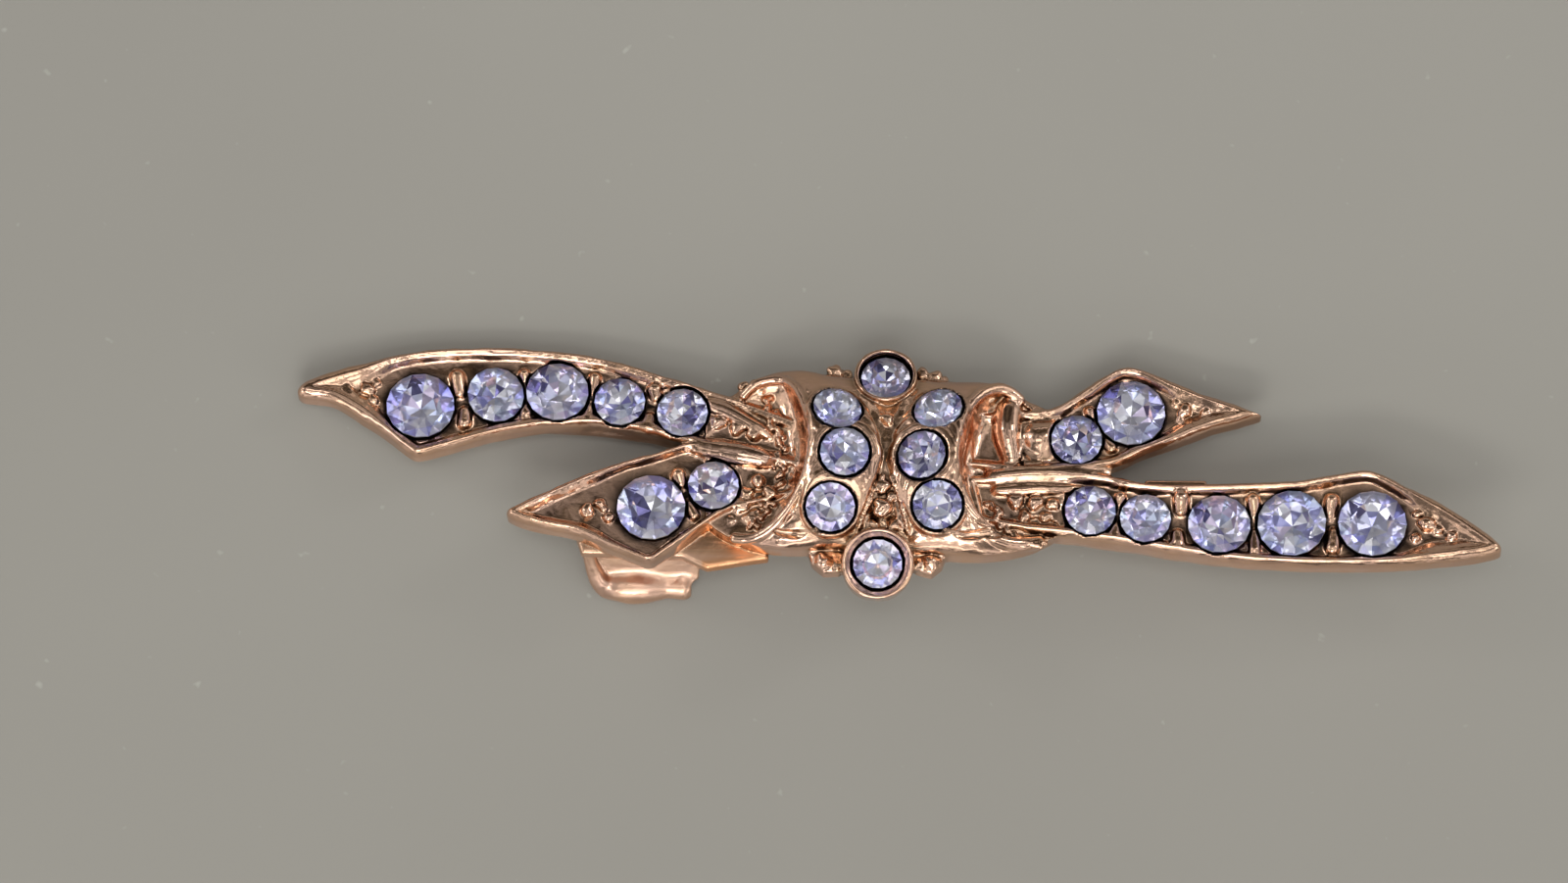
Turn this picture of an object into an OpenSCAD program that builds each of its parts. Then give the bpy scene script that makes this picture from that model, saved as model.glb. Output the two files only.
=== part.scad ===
/* [Stones] */
// Diameter of the stones on the knot
knot_stone_d = 2.5; // [2.3:0.05:2.5]
// Diameter of the small stones on the tails
small_stone_d = 2.6; // [2.4:0.05:2.65]
// Diameter of the middle stones on the tails
middle_stone_d = 2.9; // [2.7:0.05:2.95]
// Diameter of the wide stones on the tails
wide_stone_d = 3.2; // [3:0.05:3.25]
// Diameter of the large stones on the tails
large_stone_d = 3.5; // [3.3:0.05:3.55]
// Gap between a stone and the wall of its pit
stone_gap = 0.08; // [0.06:0.01:0.1]
// Height of the crown as a share of the diameter
crown_share = 0.17; // [0.14:0.01:0.2]
// Depth of the pointed back as a share of the diameter
back_share = 0.34; // [0.3:0.01:0.36]
// Width of the table as a share of the diameter
table_share = 0.56; // [0.5:0.01:0.6]

/* [Ribbon tails] */
// Height of a tail's rim above its back edge
rim_h = 1.35; // [1.2:0.05:1.5]
// Height of the sunken floor between the rims
floor_h = 0.88; // [0.8:0.02:1]
// Height of the stones' widest line on the tails
tail_seat_h = 1.08; // [1:0.02:1.2]
// Depth of the rounded belly behind a row of stones
belly_depth = 0.62; // [0.55:0.01:0.7]

/* [Knot] */
// Thickness of the knot's side wall before its dome starts
knot_wall_h = 1.0; // [0.8:0.05:1.2]
// Radius of the two crescent lips
lip_r = 0.42; // [0.35:0.01:0.5]
// Outer radius of the lower round collet
low_collet_r = 1.82; // [1.7:0.01:1.95]
// Outer radius of the upper round collet
top_collet_r = 1.6; // [1.58:0.01:1.8]
// Height of the collet's cup
collet_h = 2; // [1.8:0.05:2.1]

/* [Catch and hinge] */
// Radius of the catch's rolled edge
catch_r = 0.9; // [0.8:0.05:1]
// Depth of the roll's axis behind the bow's back edge
catch_depth = 3.65; // [3.4:0.05:3.9]
// Thickness of the catch's sheet
sheet_t = 0.4; // [0.35:0.05:0.45]
// Radius of the rounded ends of the hinge's two ears
ear_r = 0.95; // [0.9:0.05:1]
// Radius of the pin wire
pin_r = 0.35; // [0.3:0.05:0.4]
// Gap between the pin's knuckle and the hinge
knuckle_gap = 0.08; // [0.06:0.01:0.1]

/* [Hidden] */
// Each tail's outline on its back edge, columns: x, y, round (1) or corner (0)
left_upper_outline = [
    [-29.9, 3.5, 0], [-27.95, 2.75, 1], [-25.3, 0.98, 1], [-24.1, 0, 1], [-23.2, -0.06, 1],
    [-20.1, 0.86, 1], [-17.6, 1.35, 1], [-15.2, 1.5, 1], [-13.4, 1.35, 1], [-11.5, 0.95, 1],
    [-9.8, 0.45, 1], [-7.5, -0.25, 1], [-5, -0.75, 0], [-4.6, 1.9, 0], [-6.6, 2.7, 1],
    [-8, 3.2, 1], [-10.65, 4.13, 1], [-14.05, 5.2, 1], [-16.45, 5.6, 1], [-18.9, 5.82, 1],
    [-21.3, 5.83, 1], [-23.9, 5.62, 1], [-26.75, 4.95, 1], [-28.5, 4.4, 1]
];
left_lower_outline = [
    [-19.1, -3.3, 0], [-17.5, -4.05, 1], [-15.5, -4.48, 1], [-13.95, -5.2, 1], [-11.8, -6.12, 0],
    [-9.7, -4.55, 1], [-8, -3.35, 1], [-6.4, -2.9, 1], [-5, -2.6, 0], [-4.8, -0.3, 0],
    [-7.5, 0.35, 1], [-9.6, 0.62, 1], [-11.5, 0.05, 1], [-13.35, -0.5, 1], [-15.15, -1.15, 1],
    [-16.95, -1.97, 1]
];
right_upper_outline = [
    [19.65, 2.1, 0], [16.9, 3.12, 1], [14.7, 4.02, 1], [13.4, 4.62, 1], [12.5, 4.75, 1],
    [11.65, 4.45, 1], [10.6, 3.7, 1], [9.5, 2.94, 1], [8.6, 2.45, 1], [7, 2.3, 1], [5, 2.2, 0],
    [4.9, -0.9, 0], [7.5, -1.2, 1], [10, -1.05, 1], [11.9, -0.75, 1], [13.15, -0.15, 1],
    [14.7, 0.43, 1], [16.9, 1.32, 1]
];
right_lower_outline = [
    [31.5, -5.2, 0], [30.3, -4, 1], [28.55, -2.76, 1], [26.7, -1.8, 1], [25.3, -1.06, 1],
    [24.3, -0.95, 1], [22.7, -1.22, 1], [21, -1.5, 1], [17.65, -1.65, 1], [14.7, -1.68, 1],
    [12.65, -1.5, 1], [11, -1.1, 1], [8, -1.2, 1], [4.9, -1.3, 0], [5.6, -4, 0], [7.4, -4.4, 1],
    [9.1, -4.55, 1], [12.15, -4.97, 1], [14.2, -5.35, 1], [16.4, -5.72, 1], [18.85, -6.05, 1],
    [22.5, -6.21, 1], [26.1, -6.16, 1], [29.6, -5.83, 1]
];
// Tail section from the back edge up over the rim to the floor, columns: inset, height
edge_chamfer = 0.12;
edge_chamfer_h = 0.15;
tail_section = [
    [edge_chamfer, 0], [0, edge_chamfer_h], [0, rim_h - 0.22], [0.13, rim_h], [0.38, rim_h], [0.72, floor_h]
];
// How unevenly the hand-finished slopes of the rims run, and how far the end of a ribbon or bar bulges
hand_finish = 0.03;
end_bulge = 0.08;
// How far the lower tails lie behind the upper ones, and the knot's back edge behind the upper tails'
lower_tail_drop = 0.05;
knot_drop = 0.025;

// The stones, columns: name, x, y, height of the widest line, diameter, lean to +y, lean to +x
stones = [
    ["stone_left_upper_1", -23.6, 2.59, tail_seat_h, large_stone_d, 0, 0],
    ["stone_left_upper_2", -19.75, 3.19, tail_seat_h, middle_stone_d, -4, 8],
    ["stone_left_upper_3", -16.6, 3.35, tail_seat_h, wide_stone_d, 3, 0],
    ["stone_left_upper_4", -13.4, 2.81, tail_seat_h, small_stone_d, 2, 0],
    ["stone_left_upper_5", -10.2, 2.21, tail_seat_h, small_stone_d, 0, 0],
    ["stone_left_lower_1", -11.77, -3.02, tail_seat_h, large_stone_d, 0, 0],
    ["stone_left_lower_2", -8.6, -1.81, tail_seat_h, small_stone_d, 0, 0],
    ["stone_right_upper_1", 12.75, 2.17, tail_seat_h, large_stone_d, 0, 0],
    ["stone_right_upper_2", 9.95, 0.7, tail_seat_h, small_stone_d, -4, 0],
    ["stone_right_lower_1", 10.6, -3.19, tail_seat_h, small_stone_d, -4, 0],
    ["stone_right_lower_2", 13.4, -3.62, tail_seat_h, small_stone_d, 0, 0],
    ["stone_right_lower_3", 17.15, -3.94, tail_seat_h, wide_stone_d, 3, 0],
    ["stone_right_lower_4", 20.85, -3.89, tail_seat_h, large_stone_d, -3, -6],
    ["stone_right_lower_5", 24.95, -3.91, tail_seat_h, large_stone_d, -2, 0],
    ["stone_knot_top", 0.2, 3.72, 2, knot_stone_d, 12, 0],
    ["stone_knot_left_1", -2.28, 1.56, 3.25, knot_stone_d, 17, 13],
    ["stone_knot_left_2", -1.92, -0.98, 3.62, knot_stone_d, -8, 0],
    ["stone_knot_left_3", -2.65, -3.8, 3.08, knot_stone_d, -20, 0],
    ["stone_knot_right_1", 2.85, 1.54, 3.2, knot_stone_d, 17, -13],
    ["stone_knot_right_2", 2, -1.14, 3.6, knot_stone_d, -4, -18],
    ["stone_knot_right_3", 2.78, -3.7, 3.12, knot_stone_d, -18, 0],
    ["stone_knot_bottom", -0.25, -6.36, 1.7, knot_stone_d, -18, 0]
];
NAME = 0;
DIAMETER = 4;
// Runs of stones that share one belly behind a tail, columns: outermost stone, innermost stone
belly_runs = [[0, 4], [5, 6], [7, 8], [13, 9]];
// Where each belly ends inside the knot, columns: x, y
belly_roots = [[-6.5, 1.3], [-6.4, -1.3], [6.8, 0.5], [7.5, -2.8]];
belly_root_r = 1.3;
// Section of a belly from its low edge up, columns: width beyond the stone's radius, height
belly_section = [[-0.85, -belly_depth], [0.25, 0.4]];
// The knot's bands, each a run of stones, columns: first stone, last stone
band_runs = [[15, 17], [18, 20]];
// Width of a band's rim round its upper, middle and lower stone
band_rims = [0.3, 0.62, 0.3];
// Section of a band from its low edge up, columns: width beyond the rim, height from the stone's widest line
band_section = [[0.3, -1.3], [0.25, -0.4], [0.1, -0.16], [-0.05, -0.1]];
// Share of a ribbon's half width, and of its distance past the last stone, at each of its ends
end_width = 0.5;
end_reach = 0.95;
// The round collets, columns: stone, outer radius; their rim stands a little above the stone's edge
collets = [[14, top_collet_r], [21, low_collet_r]];
collet_rise = 0.12;
collet_taper = 0.2;
// A pit's straight wall below and above the stone's widest line, and the radius of its bottom
pit_wall = 0.12;
pit_top = 0.98;
pit_low_r = 0.3;

// The knot's body, columns: x, lower edge, upper edge, height of the crest
knot_sections = [
    [-8.3, -4.35, 2.6, 1.2], [-7.2, -4.85, 3.5, 1.55], [-6.2, -5.15, 4.15, 2.2],
    [-5, -5.35, 4.45, 2.85], [-3.9, -5.35, 4.45, 3.2], [-2.4, -5.25, 4.2, 3.2],
    [-0.9, -5.4, 4, 2.95], [0.2, -5.5, 4, 2.85], [1.3, -5.5, 4, 2.95], [2.8, -5.6, 3.9, 3.2],
    [3.9, -5.7, 3.85, 3.2], [5, -5.72, 3.85, 2.85], [6.2, -5.6, 3.65, 2.2],
    [7.4, -5.3, 2.9, 1.6], [8.6, -4.75, 2.3, 1.2]
];
// Small plates with beads on the knot's four shoulders, as outlines
shoulder_plates = [
    [[-3.9, -5], [-3.6, -6], [-3, -6.55], [-2.2, -6.5], [-1.2, -5.5]],
    [[0.8, -5.4], [1.7, -6.4], [2.5, -6.65], [3.05, -6.2], [3.4, -5.3]],
    [[-1.2, 4], [-1.7, 4.65], [-2.4, 4.85], [-2.8, 4.6], [-3, 4]],
    [[3.7, 3.5], [3.3, 4.15], [2.6, 4.55], [1.9, 4.65], [1.4, 4]]
];
plate_h = 0.95;

// The crescent lips, columns: x, y, height; both run from the upper end to the lower end
left_lip = [
    [-7.05, 3, 1.4], [-6.55, 3.45, 1.65], [-5.8, 3.7, 1.8], [-5, 3.6, 1.95], [-4.3, 2.8, 2.6],
    [-3.8, 1.25, 3.06], [-3.62, -0.3, 3.2], [-3.85, -1.8, 3.12], [-4.4, -3.1, 2.7],
    [-5.3, -4.2, 2.05], [-6.4, -4.8, 1.45], [-7.5, -4.75, 1.15]
];
right_lip = [
    [7, 2.8, 1.35], [6.4, 3.15, 1.65], [5.6, 3.05, 2.1], [4.8, 2.4, 2.6], [4.15, 1.25, 3],
    [3.8, -0.2, 3.15], [3.75, -1.6, 3.2], [4, -2.9, 2.95], [4.7, -4.1, 2.4], [5.7, -4.95, 1.7],
    [6.9, -5.05, 1.3], [8, -4.7, 1.15]
];
// How far below its line a lip's middle lies
lip_drop = 0.2;
// Height of the scoops' floor, and how far their face runs in for each step down from the lip
scoop_floor = 1;
scoop_slope = 0.43;
// Point that the face of the right scoop runs to, and where both scoops end outside and above
scoop_aim = [7.6, -0.7];
scoop_reach = 10;
scoop_top = 5;

// The ridge between the two tails of a side where they enter the scoop, columns: x, y, height, radius
left_ridge = [
    [-10.4, 0.3, 1.05, 0.3], [-8.6, 0.1, 1.15, 0.42], [-6.8, -0.25, 1.3, 0.5], [-5, -0.6, 1.5, 0.45]
];
right_ridge = [
    [12, -1.1, 1.05, 0.3], [10, -1.2, 1.15, 0.42], [7.6, -1.3, 1.3, 0.5], [5.2, -1.35, 1.5, 0.45]
];
// The smooth lobe in the right scoop, columns: x, y, height, radius
right_lobe = [
    [9, 0.75, 0.8, 0.3], [8.6, 0.8, 0.85, 0.65], [8, 0.9, 0.9, 0.88], [7.2, 1, 1, 1], [6.3, 1, 1.15, 1],
    [5.4, 0.6, 1.3, 0.8]
];

// Granules, columns: x, y, height, radius
granules = [
    [-26.3, 3.55, 0.95, 0.4], [-27.4, 3.55, 0.95, 0.3], [-15.05, -3.15, 0.95, 0.38],
    [-13.95, -3.55, 0.95, 0.3], [15.5, 2.3, 0.95, 0.38], [16.6, 2.25, 0.95, 0.28],
    [27.7, -3.9, 0.95, 0.45], [29, -4.6, 0.95, 0.3], [-8.35, 1.7, 0.95, 0.42],
    [-7.4, 1.35, 1, 0.42], [-6.5, 0.95, 1.1, 0.4], [-6.3, -1.55, 1.1, 0.4], [-5.7, -2.2, 1.15, 0.36],
    [8.7, -2.8, 1, 0.36], [7.75, -2.75, 1.05, 0.42], [6.8, -2.7, 1.1, 0.42],
    [-2.4, 4.4, 1.05, 0.45], [2.7, 4.1, 1.1, 0.48], [-3, -5.95, 0.85, 0.48], [2.45, -5.95, 0.85, 0.48],
    [0.1, 1.2, 2.8, 0.4], [0.05, -2.9, 2.75, 0.5], [0.1, -4, 2.3, 0.4]
];

// The catch: foot strip outline and heights, the roll's ends and axis, and the wall between them
catch_foot = [[-15.9, -3.4], [-15.3, -5.2], [-9.4, -6], [-5.8, -5.4], [-5.8, -4.2], [-9, -2.6]];
foot_top = 0.15;
foot_bottom = -0.65;
roll_left = -14.7;
roll_right = -9.4;
roll_y = -5.5;
roll_z = -catch_depth;
roll_round_left = 0.7;
roll_round_right = 0.25;
roll_end_inset = 0.25;
wall_left = -15.2;
wall_top_y = -5.3;
wall_top_z = foot_bottom + 0.1;
wall_low_y = -5.2;
wall_low_z = roll_z + 0.42;
wall_edge_h = 0.3;
// The opening that lets the pin into the roll
catch_slot_h = 2 * pin_r + 0.1;

// The bow lies on the upper edge of its left upper tail and on the catch's roll
tail_top_y = 5.852;
tail_foot_y = tail_top_y - edge_chamfer;
roll_arm = tail_foot_y - roll_y;
rest_tilt = atan(catch_depth / roll_arm) + asin(catch_r / norm([roll_arm, catch_depth]));
rest_lift = tail_foot_y * sin(rest_tilt);
// The middle of the whole brooch as it lies, seen from above
middle_x = (right_lower_outline[0][0] + left_upper_outline[0][0]) / 2;
rear_y = tail_top_y * cos(rest_tilt) + tail_section[2][1] * sin(rest_tilt);
front_y = roll_y * cos(rest_tilt) + roll_z * sin(rest_tilt) - catch_r;
middle_y = (rear_y + front_y) / 2;

// The hinge: place along the bow, ears and rivet; its ears reach down to the surface
hinge_x = 15;
hinge_y = -2.8;
hinge_plate = [3.2, 3, 0.9];
ear_t = 0.5;
knuckle_w = 0.9;
ear_in = knuckle_w / 2 + knuckle_gap;
hinge_z = (-rest_lift + (hinge_y + ear_in + ear_t) * sin(rest_tilt)) / cos(rest_tilt) + ear_r;
rivet_r = 0.36;
rivet_l = 2 * (ear_in + ear_t) + 0.3;
knuckle_r = 0.82;
// The pin stands open: its wire starts inside the knuckle and ends in a slender point
pin_start_x = hinge_x - 0.6;
pin_tip = [-13.2, -2.8, -2];
pin_point_r = 0.08;
pin_point_l = 3;

// Facets of a cut stone, as shares of its radius, its crown or its depth
girdle_share = 0.03;
star_share = 0.8;
star_rise = 0.45;
back_ring_share = 0.28;
back_ring_depth = 0.72;
// First corner of each ring of facet corners in a stone
STAR = 8;
TOP = 16;
LOW = 32;
BACK = 48;
TIP = 56;

function unit(v) = v / norm(v);
function ring_next(list, i) = list[(i + 1) % len(list)];
function ring_before(list, i) = list[(i + len(list) - 1) % len(list)];
function flat(p) = [p[0], p[1]];
function lift_to(points, z) = [for (p = points) [p[0], p[1], z]];
function ring_points(n, radius, turn, z) =
    [for (k = [0:n - 1]) [radius * cos(360 * k / n + turn), radius * sin(360 * k / n + turn), z]];

// Point halfway between b and c on the smooth curve through a, b, c and d
function halfway(a, b, c, d) = (9 * (b + c) - a - d) / 16;

// Closed outline with a point added between each two round neighbours
function smooth_outline(rows) = [
    for (i = [0:len(rows) - 1])
        let (
            a = ring_before(rows, i), b = rows[i],
            c = ring_next(rows, i), d = ring_next(rows, (i + 1) % len(rows))
        )
        each b[2] + c[2] == 2 ? [flat(b), halfway(flat(a), flat(b), flat(c), flat(d))] : [flat(b)]
];

// Open curve with a point added in each stretch
function smooth_path(rows) = [
    let (last = len(rows) - 1)
    for (i = [0:last])
        let (a = rows[max(i - 1, 0)], b = rows[i], c = rows[min(i + 1, last)], d = rows[min(i + 2, last)])
        each i < last ? [b, halfway(a, b, c, d)] : [b]
];

// Closed outline moved inwards by a distance, every other point a little further
function inset(points, distance) = [
    for (i = [0:len(points) - 1])
        let (
            along_in = unit(points[i] - ring_before(points, i)),
            along_out = unit(ring_next(points, i) - points[i]),
            normal_in = [-along_in[1], along_in[0]],
            normal_out = [-along_out[1], along_out[0]],
            share = 1 + hand_finish * (i % 2)
        )
        points[i] + share * distance * (normal_in + normal_out) / (1 + normal_in * normal_out)
];

// Point a little outside the middle of the ring at an end
function tip(ring, next) =
    let (middle = ring_middle(ring))
    middle + end_bulge * unit(middle - ring_middle(next));
function ring_middle(ring) = [for (p = ring) 1] * ring / len(ring);

// Solid skinned over rings of equal length, each anticlockwise as seen from the last ring;
// its ends are flat or rise a little to a point
module skin(rings, pointed = false) {
    n = len(rings[0]);
    ends = len(rings) - 1;
    last = ends * n;
    tips = pointed ? [tip(rings[0], rings[1]), tip(rings[ends], rings[ends - 1])] : [];
    sides = [
        for (k = [0:len(rings) - 2], i = [0:n - 1])
            let (a = k * n + i, b = k * n + (i + 1) % n, c = b + n, d = a + n)
            each [[a, d, c], [a, c, b]]
    ];
    caps = pointed
        ? [for (i = [0:n - 1]) let (b = (i + 1) % n) each [[i, b, last + n], [last + b, last + i, last + n + 1]]]
        : [[for (i = [0:n - 1]) i], [for (i = [n - 1:-1:0]) last + i]];
    polyhedron(
        points = concat([for (ring = rings) each ring], tips), faces = concat(sides, caps), convexity = 8
    );
}

// Solid with one outline and a section of inset and height
module rimmed(outline, section) {
    skin([for (row = section) lift_to(inset(outline, row[0]), row[1])]);
}

// Ribbon with one section along a path of rows point, normal, half width
module ribbon(path, section) {
    last = len(path) - 1;
    skin([
        for (i = [0:last])
            let (
                row = path[i],
                along = unit(path[min(i + 1, last)][0] - path[max(i - 1, 0)][0]),
                side = unit(cross(row[1], along)),
                up = cross(along, side),
                edge = [for (s = section) [row[2] + s[0], s[1]]]
            )
            concat(
                [for (e = edge) row[0] + e[0] * side + e[1] * up],
                [for (k = [len(edge) - 1:-1:0]) row[0] - edge[k][0] * side + edge[k][1] * up]
            )
    ], pointed = true);
}

// Rows of a ribbon with a narrower row added past its first row, and one past its last if asked
function with_ends(rows, both) =
    let (last = len(rows) - 1)
    concat(
        [end_row(rows[0], unit(rows[0][0] - rows[1][0]))],
        rows,
        both ? [end_row(rows[last], unit(rows[last][0] - rows[last - 1][0]))] : []
    );
function end_row(row, outwards) = [row[0] + end_reach * row[2] * outwards, row[1], end_width * row[2]];

// Round bar along a path of rows x, y, height, radius
module bar(path, sides) {
    last = len(path) - 1;
    skin([
        for (i = [0:last])
            let (
                here = [path[i][0], path[i][1], path[i][2]],
                before = path[max(i - 1, 0)],
                after = path[min(i + 1, last)],
                along = unit([after[0] - before[0], after[1] - before[1], after[2] - before[2]]),
                side = unit(cross(along, [0, 0, 1])),
                up = cross(side, along)
            )
            [
                for (k = [0:sides - 1])
                    let (turn = 360 * k / sides)
                    here + path[i][3] * (cos(turn) * side - sin(turn) * up)
            ]
    ], pointed = true);
}

function stone_normal(s) = [cos(s[5]) * sin(s[6]), sin(s[5]), cos(s[5]) * cos(s[6])];

// Places its children in a stone's own frame, with the table facing up
module at_stone(s) {
    translate([s[1], s[2], s[3]]) rotate([-s[5], s[6], 0]) children();
}

module at_rest() {
    translate([-middle_x, -middle_y, rest_lift]) rotate([-rest_tilt, 0, 0]) children();
}

// Belly behind a tail: a ribbon behind its stones that ends inside the knot
module belly(run, root) {
    rows = concat(
        [
            for (i = [run[0]:sign(run[1] - run[0]):run[1]])
                [[stones[i][1], stones[i][2], 0], [0, 0, 1], stones[i][DIAMETER] / 2]
        ],
        [[[root[0], root[1], 0], [0, 0, 1], belly_root_r]]
    );
    ribbon(with_ends(rows, false), belly_section);
}

module tails() {
    for (outline = [left_upper_outline, right_upper_outline])
        rimmed(smooth_outline(outline), tail_section);
    for (outline = [left_lower_outline, right_lower_outline])
        translate([0, 0, -lower_tail_drop]) rimmed(smooth_outline(outline), tail_section);
    for (i = [0:3]) belly(belly_runs[i], belly_roots[i]);
    bar(left_ridge, 8);
    bar(right_ridge, 8);
    bar(right_lobe, 12);
}

// Domed body of the knot
module knot_dome() {
    arc_steps = 10;
    skin([
        for (row = knot_sections)
            let (middle = (row[1] + row[2]) / 2, half = (row[2] - row[1]) / 2)
            concat(
                [[row[0], row[2] - edge_chamfer, -knot_drop], [row[0], row[2], edge_chamfer_h]],
                [
                    for (k = [0:arc_steps])
                        let (a = 180 * k / arc_steps)
                        [row[0], middle + half * cos(a), knot_wall_h + (row[3] - knot_wall_h) * sin(a)]
                ],
                [[row[0], row[1], edge_chamfer_h], [row[0], row[1] + edge_chamfer, -knot_drop]]
            )
    ]);
}

// Space in front of a crescent lip where the tails come out; side is -1 on the left, 1 on the right
module scoop(lip, side) {
    aim = [side * scoop_aim[0], scoop_aim[1]];
    foot = [
        for (p = lip)
            let (run = scoop_slope * (p[2] - scoop_floor))
            concat(flat(p) + run * unit(aim - flat(p)), scoop_floor)
    ];
    rings = [
        for (ring = [foot, lip, lift_to(lip, scoop_top)])
            let (first = ring[0], last = ring[len(ring) - 1], far = side * scoop_reach)
            concat([[far, first[1], first[2]]], ring, [[far, last[1], last[2]]])
    ];
    skin(side > 0 ? rings : [for (ring = rings) [for (i = [len(ring) - 1:-1:0]) ring[i]]]);
}

module lips() {
    for (lip = [left_lip, right_lip])
        bar([for (p = smooth_path(lip)) [p[0], p[1], p[2] - lip_drop, lip_r]], 8);
}

// Raised bands that carry the two columns of stones
module bands() {
    for (run = band_runs)
        ribbon(
            with_ends(smooth_path([
                for (i = [run[0]:run[1]])
                    [
                        [stones[i][1], stones[i][2], stones[i][3]],
                        stone_normal(stones[i]),
                        stones[i][DIAMETER] / 2 + band_rims[i - run[0]]
                    ]
            ]), true),
            band_section
        );
}

module collet_cups() {
    for (c = collets)
        at_stone(stones[c[0]])
            translate([0, 0, collet_rise - collet_h])
                cylinder(h = collet_h, r1 = c[1] - collet_taper, r2 = c[1], $fn = 28);
}

module granule_beads() {
    for (g = granules) translate([g[0], g[1], g[2]]) sphere(r = g[3], $fn = 8);
}

module plates() {
    for (plate = shoulder_plates)
        translate([0, 0, knot_drop]) linear_extrude(height = plate_h) polygon(plate);
}

// Pit for one stone, open upwards
module pit(s) {
    r = s[DIAMETER] / 2;
    at_stone(s)
        hull() {
            translate([0, 0, -pit_wall]) cylinder(h = pit_wall + pit_top, r = r + stone_gap, $fn = 24);
            translate([0, 0, -back_share * s[DIAMETER] - 2 * stone_gap])
                cylinder(h = stone_gap, r = pit_low_r, $fn = 24);
        }
}

// Rod along the length of the bow
module rod(left, right, r, sides) {
    translate([left, roll_y, roll_z])
        rotate([0, 90, 0]) cylinder(h = right - left, r = r, $fn = sides);
}

// Sheet catch: foot strip, wall and rolled edge with its opening
module catch_piece() {
    translate([0, 0, foot_bottom]) linear_extrude(height = foot_top - foot_bottom) polygon(catch_foot);
    hull() {
        translate([wall_left, wall_top_y, wall_top_z])
            cube([roll_right - wall_left, sheet_t, wall_edge_h]);
        translate([roll_left, wall_low_y, wall_low_z])
            cube([roll_right - roll_left, sheet_t, wall_edge_h]);
    }
    difference() {
        hull() {
            rod(roll_left + roll_round_left, roll_right - roll_round_right, catch_r, 24);
            rod(roll_left, roll_right, catch_r - roll_end_inset, 24);
        }
        rod(roll_left + sheet_t, roll_right + 1, catch_r - sheet_t, 16);
        translate([roll_left + sheet_t, roll_y, roll_z - catch_slot_h / 2])
            cube([roll_right + 1 - roll_left, catch_r + 1, catch_slot_h]);
    }
}

// Hinge bracket: plate, two ears and the rivet between them
module hinge_bracket() {
    translate([hinge_x, hinge_y, foot_top - hinge_plate[2] / 2]) cube(hinge_plate, center = true);
    for (side = [-1, 1])
        translate([hinge_x, hinge_y + side * (ear_in + ear_t / 2), 0]) rotate([90, 0, 0])
            hull() {
                translate([0, hinge_z, 0]) cylinder(h = ear_t, r = ear_r, center = true, $fn = 24);
                translate([-ear_r, foot_bottom, -ear_t / 2]) cube([2 * ear_r, wall_edge_h, ear_t]);
            }
    translate([hinge_x, hinge_y, hinge_z]) rotate([90, 0, 0])
        cylinder(h = rivet_l, r = rivet_r, center = true, $fn = 16);
}

module bow_casting() {
    color("peru")
        at_rest()
            difference() {
                union() {
                    difference() {
                        knot_dome();
                        scoop(left_lip, -1);
                        scoop(right_lip, 1);
                    }
                    tails();
                    lips();
                    bands();
                    collet_cups();
                    plates();
                    granule_beads();
                    catch_piece();
                    hinge_bracket();
                }
                for (s = stones) pit(s);
            }
}

// Pin wire with a pointed end and a knuckle round the rivet
module pin_stem() {
    from = [pin_start_x, hinge_y, hinge_z];
    run = pin_tip - from;
    length = norm(run);
    color("tan")
        at_rest()
            difference() {
                union() {
                    across_hinge(knuckle_w, knuckle_r);
                    translate(from)
                        rotate([0, acos(run[2] / length), atan2(run[1], run[0])])
                            rotate_extrude($fn = 24)
                                polygon([
                                    [0, 0], [pin_r, 0], [pin_r, length - pin_point_l],
                                    [pin_point_r, length], [0, length]
                                ]);
                }
                across_hinge(2 * knuckle_w, rivet_r + knuckle_gap);
            }
}

// Round bar on the axis of the hinge
module across_hinge(length, r) {
    translate([hinge_x, hinge_y, hinge_z])
        rotate([90, 0, 0]) cylinder(h = length, r = r, center = true, $fn = 32);
}

// One cut stone: eight-sided table, star, kite and girdle facets, and a pointed back
module stone(s) {
    r = s[DIAMETER] / 2;
    half_girdle = girdle_share * r;
    crown = crown_share * s[DIAMETER];
    depth = back_share * s[DIAMETER];
    points = concat(
        ring_points(8, table_share * r, 0, half_girdle + crown),
        ring_points(8, star_share * r, 22.5, half_girdle + star_rise * crown),
        ring_points(16, r, 0, half_girdle),
        ring_points(16, r, 0, -half_girdle),
        ring_points(8, back_ring_share * r, 22.5, -half_girdle - back_ring_depth * depth),
        [[0, 0, -depth]]
    );
    table = [[7, 6, 5, 4, 3, 2, 1, 0]];
    crown_facets = [
        for (k = [0:7])
            let (n = (k + 1) % 8, b = (k + 7) % 8)
            each [
                [k, n, STAR + k],
                [k, STAR + k, TOP + 2 * k], [k, TOP + 2 * k, STAR + b],
                [STAR + k, TOP + 2 * k + 1, TOP + 2 * k],
                [STAR + k, TOP + (2 * k + 2) % 16, TOP + 2 * k + 1]
            ]
    ];
    girdle = [
        for (k = [0:15])
            let (n = (k + 1) % 16)
            each [[TOP + k, TOP + n, LOW + n], [TOP + k, LOW + n, LOW + k]]
    ];
    back = [
        for (k = [0:7])
            let (n = (k + 1) % 8, b = (k + 7) % 8)
            each [
                [LOW + 2 * k, LOW + 2 * k + 1, BACK + k],
                [LOW + 2 * k + 1, LOW + (2 * k + 2) % 16, BACK + k],
                [LOW + 2 * k, BACK + k, BACK + b], [BACK + k, TIP, BACK + b]
            ]
    ];
    color("lavender")
        at_rest()
            at_stone(s)
                polyhedron(points = points, faces = concat(table, crown_facets, girdle, back), convexity = 2);
}

bow_casting();
pin_stem();
for (s = stones) stone(s);
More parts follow.
